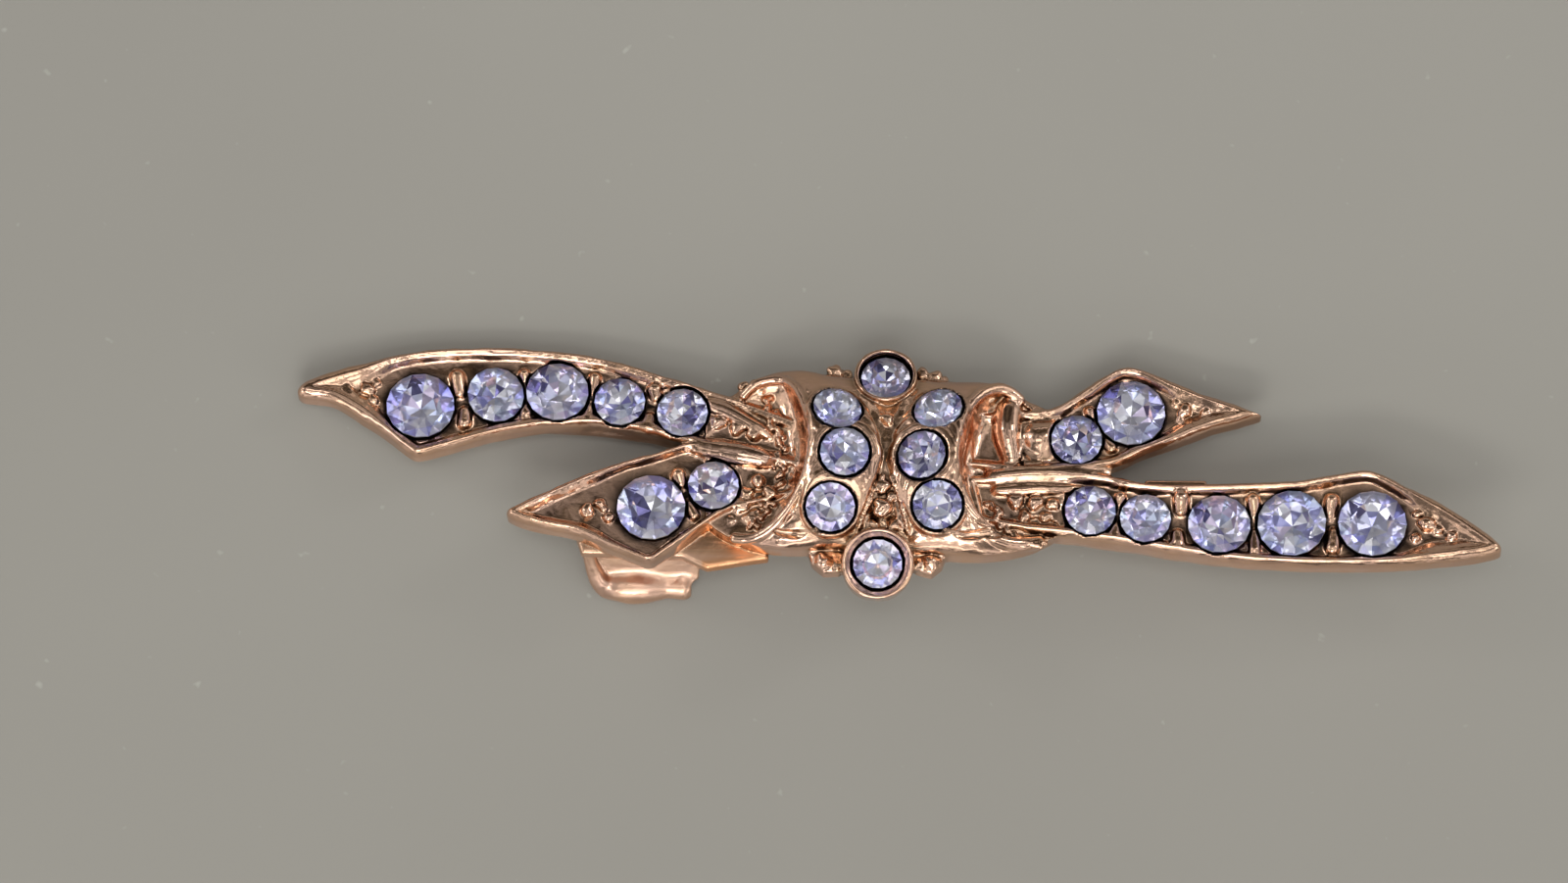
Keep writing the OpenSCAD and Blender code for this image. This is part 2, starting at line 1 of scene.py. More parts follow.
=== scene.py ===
"""A rhinestone bow brooch lying on a pale floor: the sculpted casting, the cut stones, light and camera."""
import math
import random
from collections import namedtuple

import bpy
import numpy as np
from mathutils import Matrix, Vector


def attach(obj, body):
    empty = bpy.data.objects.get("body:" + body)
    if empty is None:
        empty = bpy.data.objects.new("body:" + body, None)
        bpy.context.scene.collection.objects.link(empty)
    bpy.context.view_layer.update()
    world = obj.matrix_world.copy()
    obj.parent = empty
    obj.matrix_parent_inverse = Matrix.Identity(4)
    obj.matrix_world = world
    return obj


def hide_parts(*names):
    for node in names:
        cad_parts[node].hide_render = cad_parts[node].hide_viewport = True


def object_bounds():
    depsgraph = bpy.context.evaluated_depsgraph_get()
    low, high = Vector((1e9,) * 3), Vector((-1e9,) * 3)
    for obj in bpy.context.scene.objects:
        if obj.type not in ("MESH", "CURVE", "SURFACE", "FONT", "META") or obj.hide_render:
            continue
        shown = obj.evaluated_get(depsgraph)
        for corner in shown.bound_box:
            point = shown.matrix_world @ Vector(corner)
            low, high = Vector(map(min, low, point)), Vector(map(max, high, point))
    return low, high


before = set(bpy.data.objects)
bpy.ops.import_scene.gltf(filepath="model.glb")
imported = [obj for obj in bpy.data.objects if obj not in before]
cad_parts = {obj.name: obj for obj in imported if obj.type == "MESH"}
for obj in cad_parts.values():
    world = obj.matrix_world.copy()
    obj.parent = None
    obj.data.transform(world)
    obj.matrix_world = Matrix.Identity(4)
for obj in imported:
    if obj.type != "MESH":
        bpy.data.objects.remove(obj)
cad_low, cad_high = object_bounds()

# Everything is shaped in millimetres, in the bow's own frame: its back edge at z = 0, its face up
MM = 0.001
STEP = 0.075  # spacing of the grid that the casting is sculpted on
FAR = 3.0  # distance given to grid points that no shape reaches
REACH = 0.7  # how far round a shape its distances are worked out
MOST_TRIANGLES = 196000

# Sizes, most of them shared with the CAD source
KNOT_D, SMALL_D, MIDDLE_D, WIDE_D, LARGE_D = 2.5, 2.6, 2.9, 3.2, 3.5
PIT_GAP = 0.13
RIM_H = 1.35
RIM_SIDE_H = RIM_H - 0.22
FLOOR_H, SEAT_H = 0.88, 1.08
BELLY_DEPTH = 0.62
LOWER_TAIL_DROP = 0.05
KNOT_WALL_H = 1.0
CATCH_R, CATCH_DEPTH = 0.9, 3.65
SHEET_T = 0.4
EAR_R, EAR_T = 0.95, 0.5
KNUCKLE_W, KNUCKLE_GAP = 0.9, 0.08
PIN_R = 0.35
ROLL_Y = -5.5
BOW_LEFT, BOW_RIGHT = -29.9, 31.5

# How the bow lies: tipped on to the upper edge of its left upper tail and the roll of its catch
TAIL_TOP_Y = 5.852
TAIL_FOOT_Y = TAIL_TOP_Y - 0.12
ROLL_ARM = TAIL_FOOT_Y - ROLL_Y
REST_TILT = math.atan(CATCH_DEPTH / ROLL_ARM) + math.asin(CATCH_R / math.hypot(ROLL_ARM, CATCH_DEPTH))
REST_LIFT = TAIL_FOOT_Y * math.sin(REST_TILT)
REAR_Y = TAIL_TOP_Y * math.cos(REST_TILT) + RIM_SIDE_H * math.sin(REST_TILT)
FRONT_Y = ROLL_Y * math.cos(REST_TILT) - CATCH_DEPTH * math.sin(REST_TILT) - CATCH_R
MIDDLE_X, MIDDLE_Y = (BOW_LEFT + BOW_RIGHT) / 2, (REAR_Y + FRONT_Y) / 2
AT_REST = (
    Matrix.Scale(MM, 4)
    @ Matrix.Translation((-MIDDLE_X, -MIDDLE_Y, REST_LIFT))
    @ Matrix.Rotation(-REST_TILT, 4, "X")
)

# Each tail's outline, columns: x, y, and a 0 where it has a corner
TAILS = {
    "left_upper": [
        (-29.5, 4), (-29.9, 3.55), (-29.6, 3.1), (-27.95, 2.75), (-25.3, 0.98), (-24.1, 0),
        (-23.2, -0.06), (-20.1, 0.86), (-17.6, 1.35), (-15.2, 1.5), (-13.4, 1.35), (-11.5, 0.95),
        (-9.8, 0.45), (-7.5, -0.25), (-3.9, -0.95, 0), (-3.9, 1.6, 0), (-6.6, 2.7), (-8, 3.2),
        (-10.65, 4.13), (-14.05, 5.2), (-16.45, 5.6), (-18.9, 5.82), (-21.3, 5.83), (-23.9, 5.62),
        (-26.75, 4.95), (-28.5, 4.4),
    ],
    "left_lower": [
        (-18.85, -2.95), (-19.1, -3.3), (-18.8, -3.58), (-17.5, -4.05), (-15.5, -4.48), (-13.95, -5.2),
        (-11.8, -6.12, 0), (-9.7, -4.55), (-8, -3.35), (-6.4, -2.9), (-4.2, -2.3, 0), (-3.9, -0.6, 0),
        (-7.5, 0.35), (-9.6, 0.62), (-11.5, 0.05), (-13.35, -0.5), (-15.15, -1.15), (-16.95, -1.97),
    ],
    "right_upper": [
        (19.65, 2.1, 0), (16.9, 3.12), (14.7, 4.02), (13.4, 4.62), (12.5, 4.75), (11.65, 4.45),
        (10.6, 3.7), (9.5, 2.94), (8.6, 2.45), (7, 2.3), (4.2, 2.1, 0), (4.1, -0.9, 0), (7.5, -1.2),
        (10, -1.05), (11.9, -0.75), (13.15, -0.15), (14.7, 0.43), (16.9, 1.32),
    ],
    "right_lower": [
        (31.2, -5.5), (31.5, -5.2), (31.3, -4.8), (30.3, -4), (28.55, -2.76), (26.7, -1.8),
        (25.3, -1.06), (24.3, -0.95), (22.7, -1.22), (21, -1.5), (17.65, -1.65), (14.7, -1.68),
        (12.65, -1.5), (11, -1.1), (8, -1.2), (4.2, -1.3, 0), (4.8, -3.9, 0), (7.4, -4.4), (9.1, -4.55),
        (12.15, -4.97), (14.2, -5.35), (16.4, -5.72), (18.85, -6.05), (22.5, -6.21), (26.1, -6.16),
        (29.6, -5.83),
    ],
}
BELLY_ROOTS = {
    "left_upper": (-6.5, 1.3), "left_lower": (-6.4, -1.3),
    "right_upper": (6.8, 0.5), "right_lower": (7.5, -2.8),
}
BELLY_EDGE, BELLY_ROOT_R = 0.2, 1.5  # how far a belly reaches past its stones, and its radius at the root

# The tails' stones, columns: x, y, diameter, lean to +y, lean to +x
TAIL_STONES = {
    "left_upper": [
        (-23.6, 2.59, LARGE_D, 0, 0), (-19.75, 3.19, MIDDLE_D, -4, 8), (-16.6, 3.35, WIDE_D, 3, 0),
        (-13.4, 2.81, SMALL_D, 2, 0), (-10.2, 2.21, SMALL_D, 0, 0),
    ],
    "left_lower": [(-11.77, -3.02, LARGE_D, 0, 0), (-8.6, -1.81, SMALL_D, 0, 0)],
    "right_upper": [(12.75, 2.17, LARGE_D, 0, 0), (9.95, 0.7, SMALL_D, -4, 0)],
    "right_lower": [
        (10.6, -3.19, SMALL_D, -4, 0), (13.4, -3.62, SMALL_D, 0, 0), (17.15, -3.94, WIDE_D, 3, 0),
        (20.85, -3.89, LARGE_D, -3, -6), (24.95, -3.91, LARGE_D, -2, 0),
    ],
}
# The knot's stones, columns: x, y, height of the widest line, lean to +y, lean to +x
KNOT_STONES = {
    "top": (0.2, 3.72, 2, 12, 0), "left_1": (-2.28, 1.56, 3.25, 17, 13),
    "left_2": (-1.92, -0.98, 3.62, -8, 0), "left_3": (-2.65, -3.8, 3.08, -20, 0),
    "right_1": (2.85, 1.54, 3.2, 17, -13), "right_2": (2, -1.14, 3.6, -4, -18),
    "right_3": (2.78, -3.7, 3.12, -18, 0), "bottom": (-0.25, -6.36, 1.7, -18, 0),
}
Stone = namedtuple("Stone", "x y z size lean_y lean_x")
STONES = {
    f"stone_{name}_{i}": Stone(x, y, SEAT_H, size, *lean)
    for name, row in TAIL_STONES.items() for i, (x, y, size, *lean) in enumerate(row, 1)
}
for place, (x, y, z, *lean) in KNOT_STONES.items():
    STONES["stone_knot_" + place] = Stone(x, y, z, KNOT_D, *lean)
# Each tail's stones from its tip to its root
ROWS_OF_STONES = {name: [s for key, s in STONES.items() if name in key] for name in TAIL_STONES}
ROWS_OF_STONES["right_lower"].reverse()

# The cut of a stone, as shares of its diameter, its radius or its crown's height
GIRDLE_SHARE, CROWN_SHARE, BACK_SHARE = 0.03, 0.17, 0.34
TABLE_SHARE = 0.56
STAR_SHARE, STAR_RISE = 0.8, 0.45
BACK_RING_SHARE, BACK_RING_DEPTH = 0.46, 0.64
# A stone's pit: depth of its straight wall, its radii at the bottom, and how far it is cut upwards
PIT_WALL = 0.12
PIT_LOW_R, PIT_LEAST_R = 0.3, 0.2
PIT_TOP = 1.6

# The knot's body, columns: x, lower edge, upper edge, height of the crest
KNOT_SECTIONS = [
    (-9.1, -3.6, 1.9, 1.05), (-8.3, -4.3, 2.6, 1.2), (-7.2, -4.85, 3.5, 1.55), (-6.2, -5.15, 4.15, 2.2),
    (-5, -5.35, 4.45, 2.85), (-3.9, -5.35, 4.45, 3.2), (-2.4, -5.25, 4.2, 3.2), (-0.9, -5.4, 4, 2.95),
    (0.2, -5.5, 4, 2.85), (1.3, -5.5, 4, 2.95), (2.8, -5.6, 3.9, 3.2), (3.9, -5.7, 3.85, 3.2),
    (5, -5.72, 3.85, 2.85), (6.2, -5.6, 3.65, 2.2), (7.4, -5.3, 2.9, 1.6), (8.6, -4.75, 2.3, 1.2),
    (9.4, -4.2, 1.8, 1.05),
]
SHOULDER_PLATES = [
    [(-3.9, -5), (-3.6, -6), (-3, -6.55), (-2.2, -6.5), (-1.2, -5.5)],
    [(0.8, -5.4), (1.7, -6.4), (2.5, -6.65), (3.05, -6.2), (3.4, -5.3)],
    [(-1.2, 4), (-1.7, 4.65), (-2.4, 4.85), (-2.8, 4.6), (-3, 4)],
    [(3.7, 3.5), (3.3, 4.15), (2.6, 4.55), (1.9, 4.65), (1.4, 4)],
]
PLATE_LOW, PLATE_H = 0.02, 0.95
# Rims of the bands that carry the knot's columns of stones, for the upper, middle and lower stone
BAND_RIMS = (0.3, 0.62, 0.3)
BAND_BACK, BAND_FRONT = -1.4, -0.02  # the bands' back and front, from the stones' widest line
# The collets' radii, and their rounded lip: its radius, and its height above the stone's widest line
COLLETS = {"stone_knot_top": 1.6, "stone_knot_bottom": 1.82}
COLLET_LIP_R, COLLET_RISE = 0.11, 0.4
COLLET_DEPTH = 1.88

# The crescent lips, columns: x, y, height; both run from the upper end to the lower end
LEFT_LIP = [
    (-7.05, 3, 1.4), (-6.55, 3.45, 1.65), (-5.8, 3.7, 1.8), (-5, 3.6, 1.95), (-4.3, 2.8, 2.6),
    (-3.8, 1.25, 3.06), (-3.62, -0.3, 3.2), (-3.85, -1.8, 3.12), (-4.4, -3.1, 2.7), (-5.3, -4.2, 2.05),
    (-6.4, -4.8, 1.45), (-7.5, -4.75, 1.15),
]
RIGHT_LIP = [
    (7, 2.8, 1.35), (6.4, 3.15, 1.65), (5.6, 3.05, 2.1), (4.8, 2.4, 2.6), (4.15, 1.25, 3),
    (3.8, -0.2, 3.15), (3.75, -1.6, 3.2), (4, -2.9, 2.95), (4.7, -4.1, 2.4), (5.7, -4.95, 1.7),
    (6.9, -5.05, 1.15), (8, -4.8, 0.8),
]
LEFT_LIP_R, RIGHT_LIP_R = 0.24, 0.33
SCOOP_FLOOR = 1.0
SCOOP_R = 1.3  # how far the concave face of a scoop runs out from its lip
SCOOP_REACH, SCOOP_TOP = 2, 5  # how far outwards and upwards a scoop is cut

# Ridges and the smooth lobe in the scoops, columns: x, y, height, radius
SCOOP_BARS = [
    [
        (-10, 0.35, 0.85, 0.2), (-8.6, 0.15, 1, 0.5), (-7, -0.15, 1.05, 0.62), (-6, -0.4, 1.05, 0.5),
        (-5.5, -0.5, 0.8, 0.3),
    ],
    [
        (-9.7, 2.9, 0.9, 0.2), (-8.6, 2.55, 1.1, 0.36), (-7.2, 1.85, 1.12, 0.4),
        (-6.1, 1.15, 1.05, 0.35), (-5.5, 0.8, 0.8, 0.2),
    ],
    [(6.9, 3, 0.9, 0.4), (6.5, 2.2, 1.1, 0.66), (6.4, 1, 1.15, 0.7), (6.6, -0.2, 1, 0.5)],
    [
        (11.6, -1, 0.8, 0.15), (10.4, -1.1, 0.95, 0.36), (9, -1.2, 1.05, 0.46),
        (7.4, -1.25, 1.15, 0.48), (5.6, -1.3, 1, 0.35),
    ],
    [(10.2, -1.95, 0.85, 0.15), (9, -2, 1, 0.3), (7.4, -2.05, 1.1, 0.36), (5.9, -2.1, 1, 0.3)],
]
# The golden lump in the right scoop, columns: x, y, height, radius
RIGHT_LUMPS = [(8, 0.75, 0.75, 1), (8.7, 1.05, 0.6, 0.85), (7.9, -0.1, 0.6, 0.7)]
# Grooves between the two bands of the knot, columns: x, y, height, radius
KNOT_CUTS = [
    [(0.35, 3.1, 2.6, 0.75), (0.3, 2, 2.95, 0.65), (0.25, 0.8, 3.15, 0.5), (0.2, -0.5, 3.2, 0.25)],
    [(0.2, -1.7, 3.35, 0.2), (0.15, -2.6, 3.3, 0.6), (0.05, -3.6, 3.1, 0.85), (0, -4.4, 2.9, 1)],
]
# Slots engraved on the knot's lower front, columns: x, y, radius
KNOT_SLOTS = [
    [(-5.4, -4.65, 0.14), (-4.4, -4.85, 0.22), (-3.2, -4.9, 0.14)],
    [(-4.1, -4, 0.09), (-4.7, -4, 0.13), (-4.95, -4.3, 0.09)],
    [(2.9, -4.9, 0.14), (4.2, -5, 0.22), (5.5, -4.9, 0.3), (6, -4.75, 0.16)],
    [(4.2, -3.7, 0.09), (4.7, -4.3, 0.13), (5.4, -4.5, 0.09)],
]
# Paths of small beads round the granular triangle above the lower collet, columns: x, y, height
BEADED_EDGES = [
    [(0, -2.1, 2.95), (-0.55, -3, 2.8), (-0.95, -3.9, 2.5), (-1.25, -4.7, 2)],
    [(0.45, -2.1, 2.95), (0.85, -3, 2.8), (1.1, -3.9, 2.5), (1.3, -4.8, 2)],
]
# Granules, columns: x, y, height, radius
GRANULES = [
    (-26.3, 3.55, 0.95, 0.4), (-27.4, 3.55, 0.95, 0.3), (-15.05, -3.15, 0.95, 0.38),
    (-13.95, -3.55, 0.95, 0.3), (15.5, 2.3, 0.95, 0.38), (16.6, 2.25, 0.95, 0.28),
    (27.7, -3.9, 0.95, 0.45), (29, -4.6, 0.95, 0.3), (-8.35, 1.7, 0.95, 0.42), (-7.4, 1.35, 1, 0.42),
    (-6.5, 0.95, 1.1, 0.4), (-6.3, -1.55, 1.1, 0.4), (-5.7, -2.2, 1.15, 0.36), (8.7, -2.8, 1, 0.36),
    (7.75, -2.75, 1.05, 0.42), (6.8, -2.7, 1.1, 0.42), (8.3, -3.5, 0.9, 0.3), (7.3, -3.5, 0.95, 0.34),
    (-2.4, 4.4, 1.05, 0.45), (-1.75, 4.3, 0.95, 0.3), (2.7, 4.1, 1.1, 0.42), (2.1, 4.35, 1.1, 0.36),
    (3.2, 3.85, 1.15, 0.3), (-3, -5.95, 0.85, 0.5), (-2.3, -6.1, 0.75, 0.35), (2.45, -5.95, 0.85, 0.5),
    (1.85, -6.05, 0.8, 0.36), (0.25, 1.2, 2.55, 0.4), (0, -2.55, 2.75, 0.4), (0.05, -3.6, 2.45, 0.55),
    (-0.55, -4.3, 2, 0.4), (0.6, -4.35, 2, 0.4), (0.45, -3, 2.6, 0.28), (-25.9, 3.9, 0.85, 0.25),
    (-26, 3, 0.9, 0.28), (-26.8, 3.2, 0.85, 0.22), (-25.85, 2.4, 0.85, 0.22),
    (-14.4, -2.75, 0.85, 0.26), (-14.2, -3.05, 0.85, 0.2), (15.1, 2.8, 0.85, 0.22),
    (15.3, 1.85, 0.85, 0.22), (27.3, -3.3, 0.85, 0.24), (28.3, -4.2, 0.85, 0.26),
    (27.2, -4.6, 0.85, 0.25), (-7.3, -2.95, 0.85, 0.5), (-6.7, -3.6, 0.9, 0.42),
    (-7.7, -3.7, 0.75, 0.4), (-6.9, -2.3, 0.9, 0.4),
]

CATCH_FOOT = [
    (-15.9, -3.4), (-15.3, -5.1), (-10.2, -5.3), (-8.9, -5.93), (-5.8, -5.4), (-5.8, -4.2), (-9, -2.6),
]
FOOT_TOP, FOOT_BOTTOM = 0.15, -0.65
FOOT_BEND_Y, FOOT_BEND = -4.2, 0.1  # where the foot bends down towards its wall, and how steeply
SHEET_TOP_Y, SHEET_LOW_Y = -3.3, -5.26  # the front of the wall under the bow and where it meets the roll
SHEET_LOW_Z = -3.05
SHEET_LEFT, SHEET_TAPER = -15.3, 0.6  # the wall's left edge, and how far it runs in down to the roll
SHEET_FLARE = 1.4  # how far the wall widens up to the foot
SHEET_SLOPE = 0.85  # true distance for each step along y, as the wall leans
SHEET_INSET = 0.1  # how far the wall stops inside the foot's top and the roll's middle
ROLL_RIGHT = -9.4
BORE_LEFT, BORE_R = -13.3, 0.42
# The rolled edge, a bulb with a waist, columns: x, y, height, radius
CATCH_ROLL = [
    (-14.1, ROLL_Y, -3.45, 0.45), (-13.5, ROLL_Y, -3.58, 0.76), (-12.75, ROLL_Y, -CATCH_DEPTH, CATCH_R),
    (-11.9, ROLL_Y, -CATCH_DEPTH, 0.8), (-11, ROLL_Y, -CATCH_DEPTH, 0.62),
    (-10.2, ROLL_Y, -CATCH_DEPTH, 0.68),
]
# Where the sheet curves forward beside the roll
CATCH_SPOON = [(-14.9, -4.35, -0.7, 0.2), (-14.75, -4.95, -2, 0.24), (-14.4, -5.45, -3, 0.34)]
# Raised left edge of the catch, columns: x, y, height, radius
CATCH_EDGE = [
    (-15.3, -4.2, -0.3, 0.16), (-15.1, -4.75, -1.4, 0.18), (-14.95, -5.1, -2.2, 0.2),
    (-14.7, -5.5, -3.1, 0.22), (-14.15, -5.85, -3.85, 0.2), (-13.4, -5.95, -4.2, 0.14),
]
HINGE_X, HINGE_Y = 15, -2.8
EAR_IN = KNUCKLE_W / 2 + KNUCKLE_GAP
EAR_OUT = EAR_IN + EAR_T
HINGE_Z = (-REST_LIFT + (HINGE_Y + EAR_IN + EAR_T) * math.sin(REST_TILT)) / math.cos(REST_TILT) + EAR_R
HINGE_HALF_X, HINGE_HALF_Y = 1.6, 1.5
HINGE_LOW, HINGE_TOP, EAR_TOP = -0.75, 0.6, -0.3
RIVET_R, RIVET_HEAD = 0.36, 0.15

# Each tail's rim, columns: its crest's distance inside the outline, the drop from there to its inner
# ledge, where the ledge ends inside the crest, the inner slope's width; then crest and width at the tip
RIMS = {
    "left_upper": (0.24, 0.13, 0.16, 0.36, 0.5, 0.8),
    "left_lower": (0.17, 0.1, 0.08, 0.26, 0.26, 0.4),
    "right_upper": (0.24, 0.12, 0.14, 0.32, 0.36, 0.65),
    "right_lower": (0.24, 0.12, 0.12, 0.32, 0.42, 0.8),
}
EDGE_DROP = 0.24  # how far a rim falls outside its crest
EDGE_SOFT, BACK_SOFT = 0.36, 0.2  # fillets of a rim into its outer wall and of that into the back
LEDGE_W = 0.15
RIDGE_H, RIDGE_W = 0.03, 0.06  # the low ridge where the ledge ends
TIP_ROUND = 0.45
TIP_START, TIP_RUN = 0.3, 2.2  # where the tip begins, in diameters past its stone, and how fast it widens


def soft_min(a, b, soft):
    """The smaller of two distances, with a fillet where they cross."""
    if not soft:
        return np.minimum(a, b)
    blend = np.maximum(soft - np.abs(a - b), 0)
    return np.minimum(a, b) - blend * blend / (4 * soft)


def soft_max(a, b, soft):
    return -soft_min(-a, -b, soft)


def ease(t):
    """Smooth step from 0 to 1."""
    t = np.clip(t, 0, 1)
    return t * t * (3 - 2 * t)


def length(*parts):
    return np.sqrt(sum(part * part for part in parts))


class Sculpt:
    """Signed distances on a grid, negative inside the metal; soft is the fillet where shapes meet."""

    def __init__(self, low, high):
        self.first = np.floor(np.array(low, float) / STEP).astype(int)
        self.last = np.ceil(np.array(high, float) / STEP).astype(int)
        self.field = np.full(self.last - self.first + 1, FAR, np.float32)

    def window(self, low, high):
        """Slices of the grid round a box, and the x, y and z of its points."""
        first = np.maximum(np.floor((np.array(low) - REACH) / STEP).astype(int), self.first)
        last = np.minimum(np.ceil((np.array(high) + REACH) / STEP).astype(int), self.last)
        slices = tuple(slice(a - o, b - o + 1) for a, b, o in zip(first, last, self.first))
        axes = [np.arange(a, b + 1, dtype=np.float32) * STEP for a, b in zip(first, last)]
        return slices, *np.ix_(*axes)

    def add(self, shape, soft=0, sign=1):
        distance, low, high = shape
        slices, x, y, z = self.window(low, high)
        self.field[slices] = sign * soft_min(sign * self.field[slices], distance(x, y, z), soft)

    def cut(self, shape, soft=0):
        self.add(shape, soft, -1)

    def join(self, other, soft=0):
        """Adds another sculpt that covers a part of this one's grid."""
        slices = tuple(slice(a - o, b - o + 1) for a, b, o in zip(other.first, other.last, self.first))
        self.field[slices] = soft_min(self.field[slices], other.field, soft)

    def sample(self, points):
        """The distance at each of a list of points."""
        place = points / STEP - self.first
        cell = np.clip(np.floor(place).astype(int), 0, np.array(self.field.shape) - 2)
        t = place - cell
        total = np.zeros(len(points))
        for corner in np.ndindex(2, 2, 2):
            share = np.prod(np.where(corner, t, 1 - t), axis=1)
            total += share * self.field[tuple((cell + corner).T)]
        return total

    def normals(self, points):
        """Unit vector that points out of the metal at each point."""
        steps = [self.sample(points + d) - self.sample(points - d) for d in np.eye(3) * STEP * 0.7]
        out = np.stack(steps, axis=1)
        return out / np.maximum(np.linalg.norm(out, axis=1, keepdims=True), 1e-9)


def refine(rows, rounds, closed=False):
    """Adds points halfway along a smooth curve through rows; a closed outline keeps its corners."""
    rows = [np.array(row, float) for row in rows]
    for _ in range(rounds):
        count, finer = len(rows), []
        for i, b in enumerate(rows):
            finer.append(b)
            if closed:
                a, c, d = rows[i - 1], rows[(i + 1) % count], rows[(i + 2) % count]
                if not (b[2] and c[2]):
                    continue
                a = a if a[2] else 2 * b - c
                d = d if d[2] else 2 * c - b
            elif i == count - 1:
                continue
            else:
                a, c, d = rows[max(i - 1, 0)], rows[i + 1], rows[min(i + 2, count - 1)]
            middle = (9 * (b + c) - a - d) / 16
            if closed:
                middle[2] = 1
            finer.append(middle)
        rows = finer
    return rows


def rounded(outline, r):
    """A closed outline with its sharp corners rounded, r being how far from the corner the curve starts."""
    rows = []
    for i, row in enumerate(outline):
        if row[2]:
            rows.append(row)
            continue
        corner, ends = row[:2], []
        for other in (outline[i - 1], outline[(i + 1) % len(outline)]):
            away = other[:2] - corner
            ends.append(corner + r * away / np.linalg.norm(away))
        for t in np.linspace(0, 1, 7):
            point = (1 - t) ** 2 * ends[0] + 2 * t * (1 - t) * corner + t * t * ends[1]
            rows.append((*point, 1))
    return rows


def box_of(rows, radius):
    rows = np.array(rows, float)[:, :3]
    return rows.min(axis=0) - radius, rows.max(axis=0) + radius


def between(a, b, x, y, z):
    """The way from a to b, and which share of it lies nearest to each point."""
    along = b[:3] - a[:3]
    t = ((x - a[0]) * along[0] + (y - a[1]) * along[1] + (z - a[2]) * along[2]) / (along @ along)
    return along, np.clip(t, 0, 1)


def bar(path, rounds=2):
    """Round bar of varying radius along rows x, y, height, radius."""
    rows = np.array(refine(path, rounds))

    def distance(x, y, z):
        best = np.float32(FAR)
        for a, b in zip(rows[:-1], rows[1:]):
            along, t = between(a, b, x, y, z)
            off = (p - a[i] - t * along[i] for i, p in enumerate((x, y, z)))
            best = np.minimum(best, length(*off) - a[3] - t * (b[3] - a[3]))
        return best

    return distance, *box_of(rows, rows[:, 3].max())


def bead(x0, y0, z0, r):
    def distance(x, y, z):
        return length(x - x0, y - y0, z - z0) - r

    return distance, *box_of([(x0, y0, z0)], r)


def flat_between(a, b, x, y):
    """As between on a flat outline, with the way's x and y and those from it to each point."""
    ex, ey = b[0] - a[0], b[1] - a[1]
    t = np.clip(((x - a[0]) * ex + (y - a[1]) * ey) / (ex * ex + ey * ey), 0, 1)
    return t, ex, ey, x - a[0] - t * ex, y - a[1] - t * ey


def inset_map(outline, x, y):
    """How far inside a closed outline each point lies, negative outside."""
    x, y = x[:, :, 0], y[:, :, 0]
    nearest = np.full((x.shape[0], y.shape[1]), 1e6)
    inside = np.zeros(nearest.shape, bool)
    for a, b in zip(outline, outline[1:] + outline[:1]):
        _, ex, ey, dx, dy = flat_between(a, b, x, y)
        nearest = np.minimum(nearest, dx * dx + dy * dy)
        if a[1] != b[1]:
            inside ^= ((a[1] > y) != (b[1] > y)) & (x < ex * (y - a[1]) / ey + a[0])
    return np.where(inside, np.sqrt(nearest), -np.sqrt(nearest))[:, :, None]


def box_over(outline, low, high):
    return box_of([(p[0], p[1], z) for p in outline for z in (low, high)], 0)


def plate(outline, low, high, soft):
    """Flat plate with rounded edges."""
    def distance(x, y, z):
        return soft_max(np.maximum(z - high, low - z), -inset_map(outline, x, y), soft)

    return distance, *box_over(outline, low, high)


def block(low, high, soft):
    low, high = np.array(low, float), np.array(high, float)
    middle, half = (low + high) / 2, (high - low) / 2

    def distance(x, y, z):
        flat = soft_max(abs(x - middle[0]) - half[0], abs(y - middle[1]) - half[1], soft)
        return soft_max(flat, abs(z - middle[2]) - half[2], soft)

    return distance, low, high


def off_axis(px, py, pz, along):
    """Distance from an axis, from a point's place and how far along the axis that is."""
    return np.sqrt(np.maximum(px * px + py * py + pz * pz - along * along, 0))


def rod(start, end, r, soft=0):
    """Cylinder from start to end with rounded edges."""
    start, end = np.array(start, float), np.array(end, float)
    span = np.linalg.norm(end - start)
    along = (end - start) / span

    def distance(x, y, z):
        px, py, pz = x - start[0], y - start[1], z - start[2]
        t = px * along[0] + py * along[1] + pz * along[2]
        return soft_max(off_axis(px, py, pz, t) - r, abs(t - span / 2) - span / 2, soft)

    return distance, *box_of([start, end], r)


def ribbon(rows, low, high, soft, rounds=2):
    """Band along rows of centre, normal and half width; low and high are along the normal."""
    rows = np.array(refine(rows, rounds))

    def distance(x, y, z):
        best = np.float32(FAR)
        for a, b in zip(rows[:-1], rows[1:]):
            t = between(a, b, x, y, z)[1]
            row = [a[i] + t * (b[i] - a[i]) for i in range(7)]
            px, py, pz = x - row[0], y - row[1], z - row[2]
            up = (px * row[3] + py * row[4] + pz * row[5]) / length(*row[3:6])
            edge = soft_max(off_axis(px, py, pz, up) - row[6], up - high, soft)
            best = np.minimum(best, soft_max(edge, low - up, soft))
        return best

    return distance, *box_of(rows, rows[:, 6].max() + max(abs(low), abs(high)))


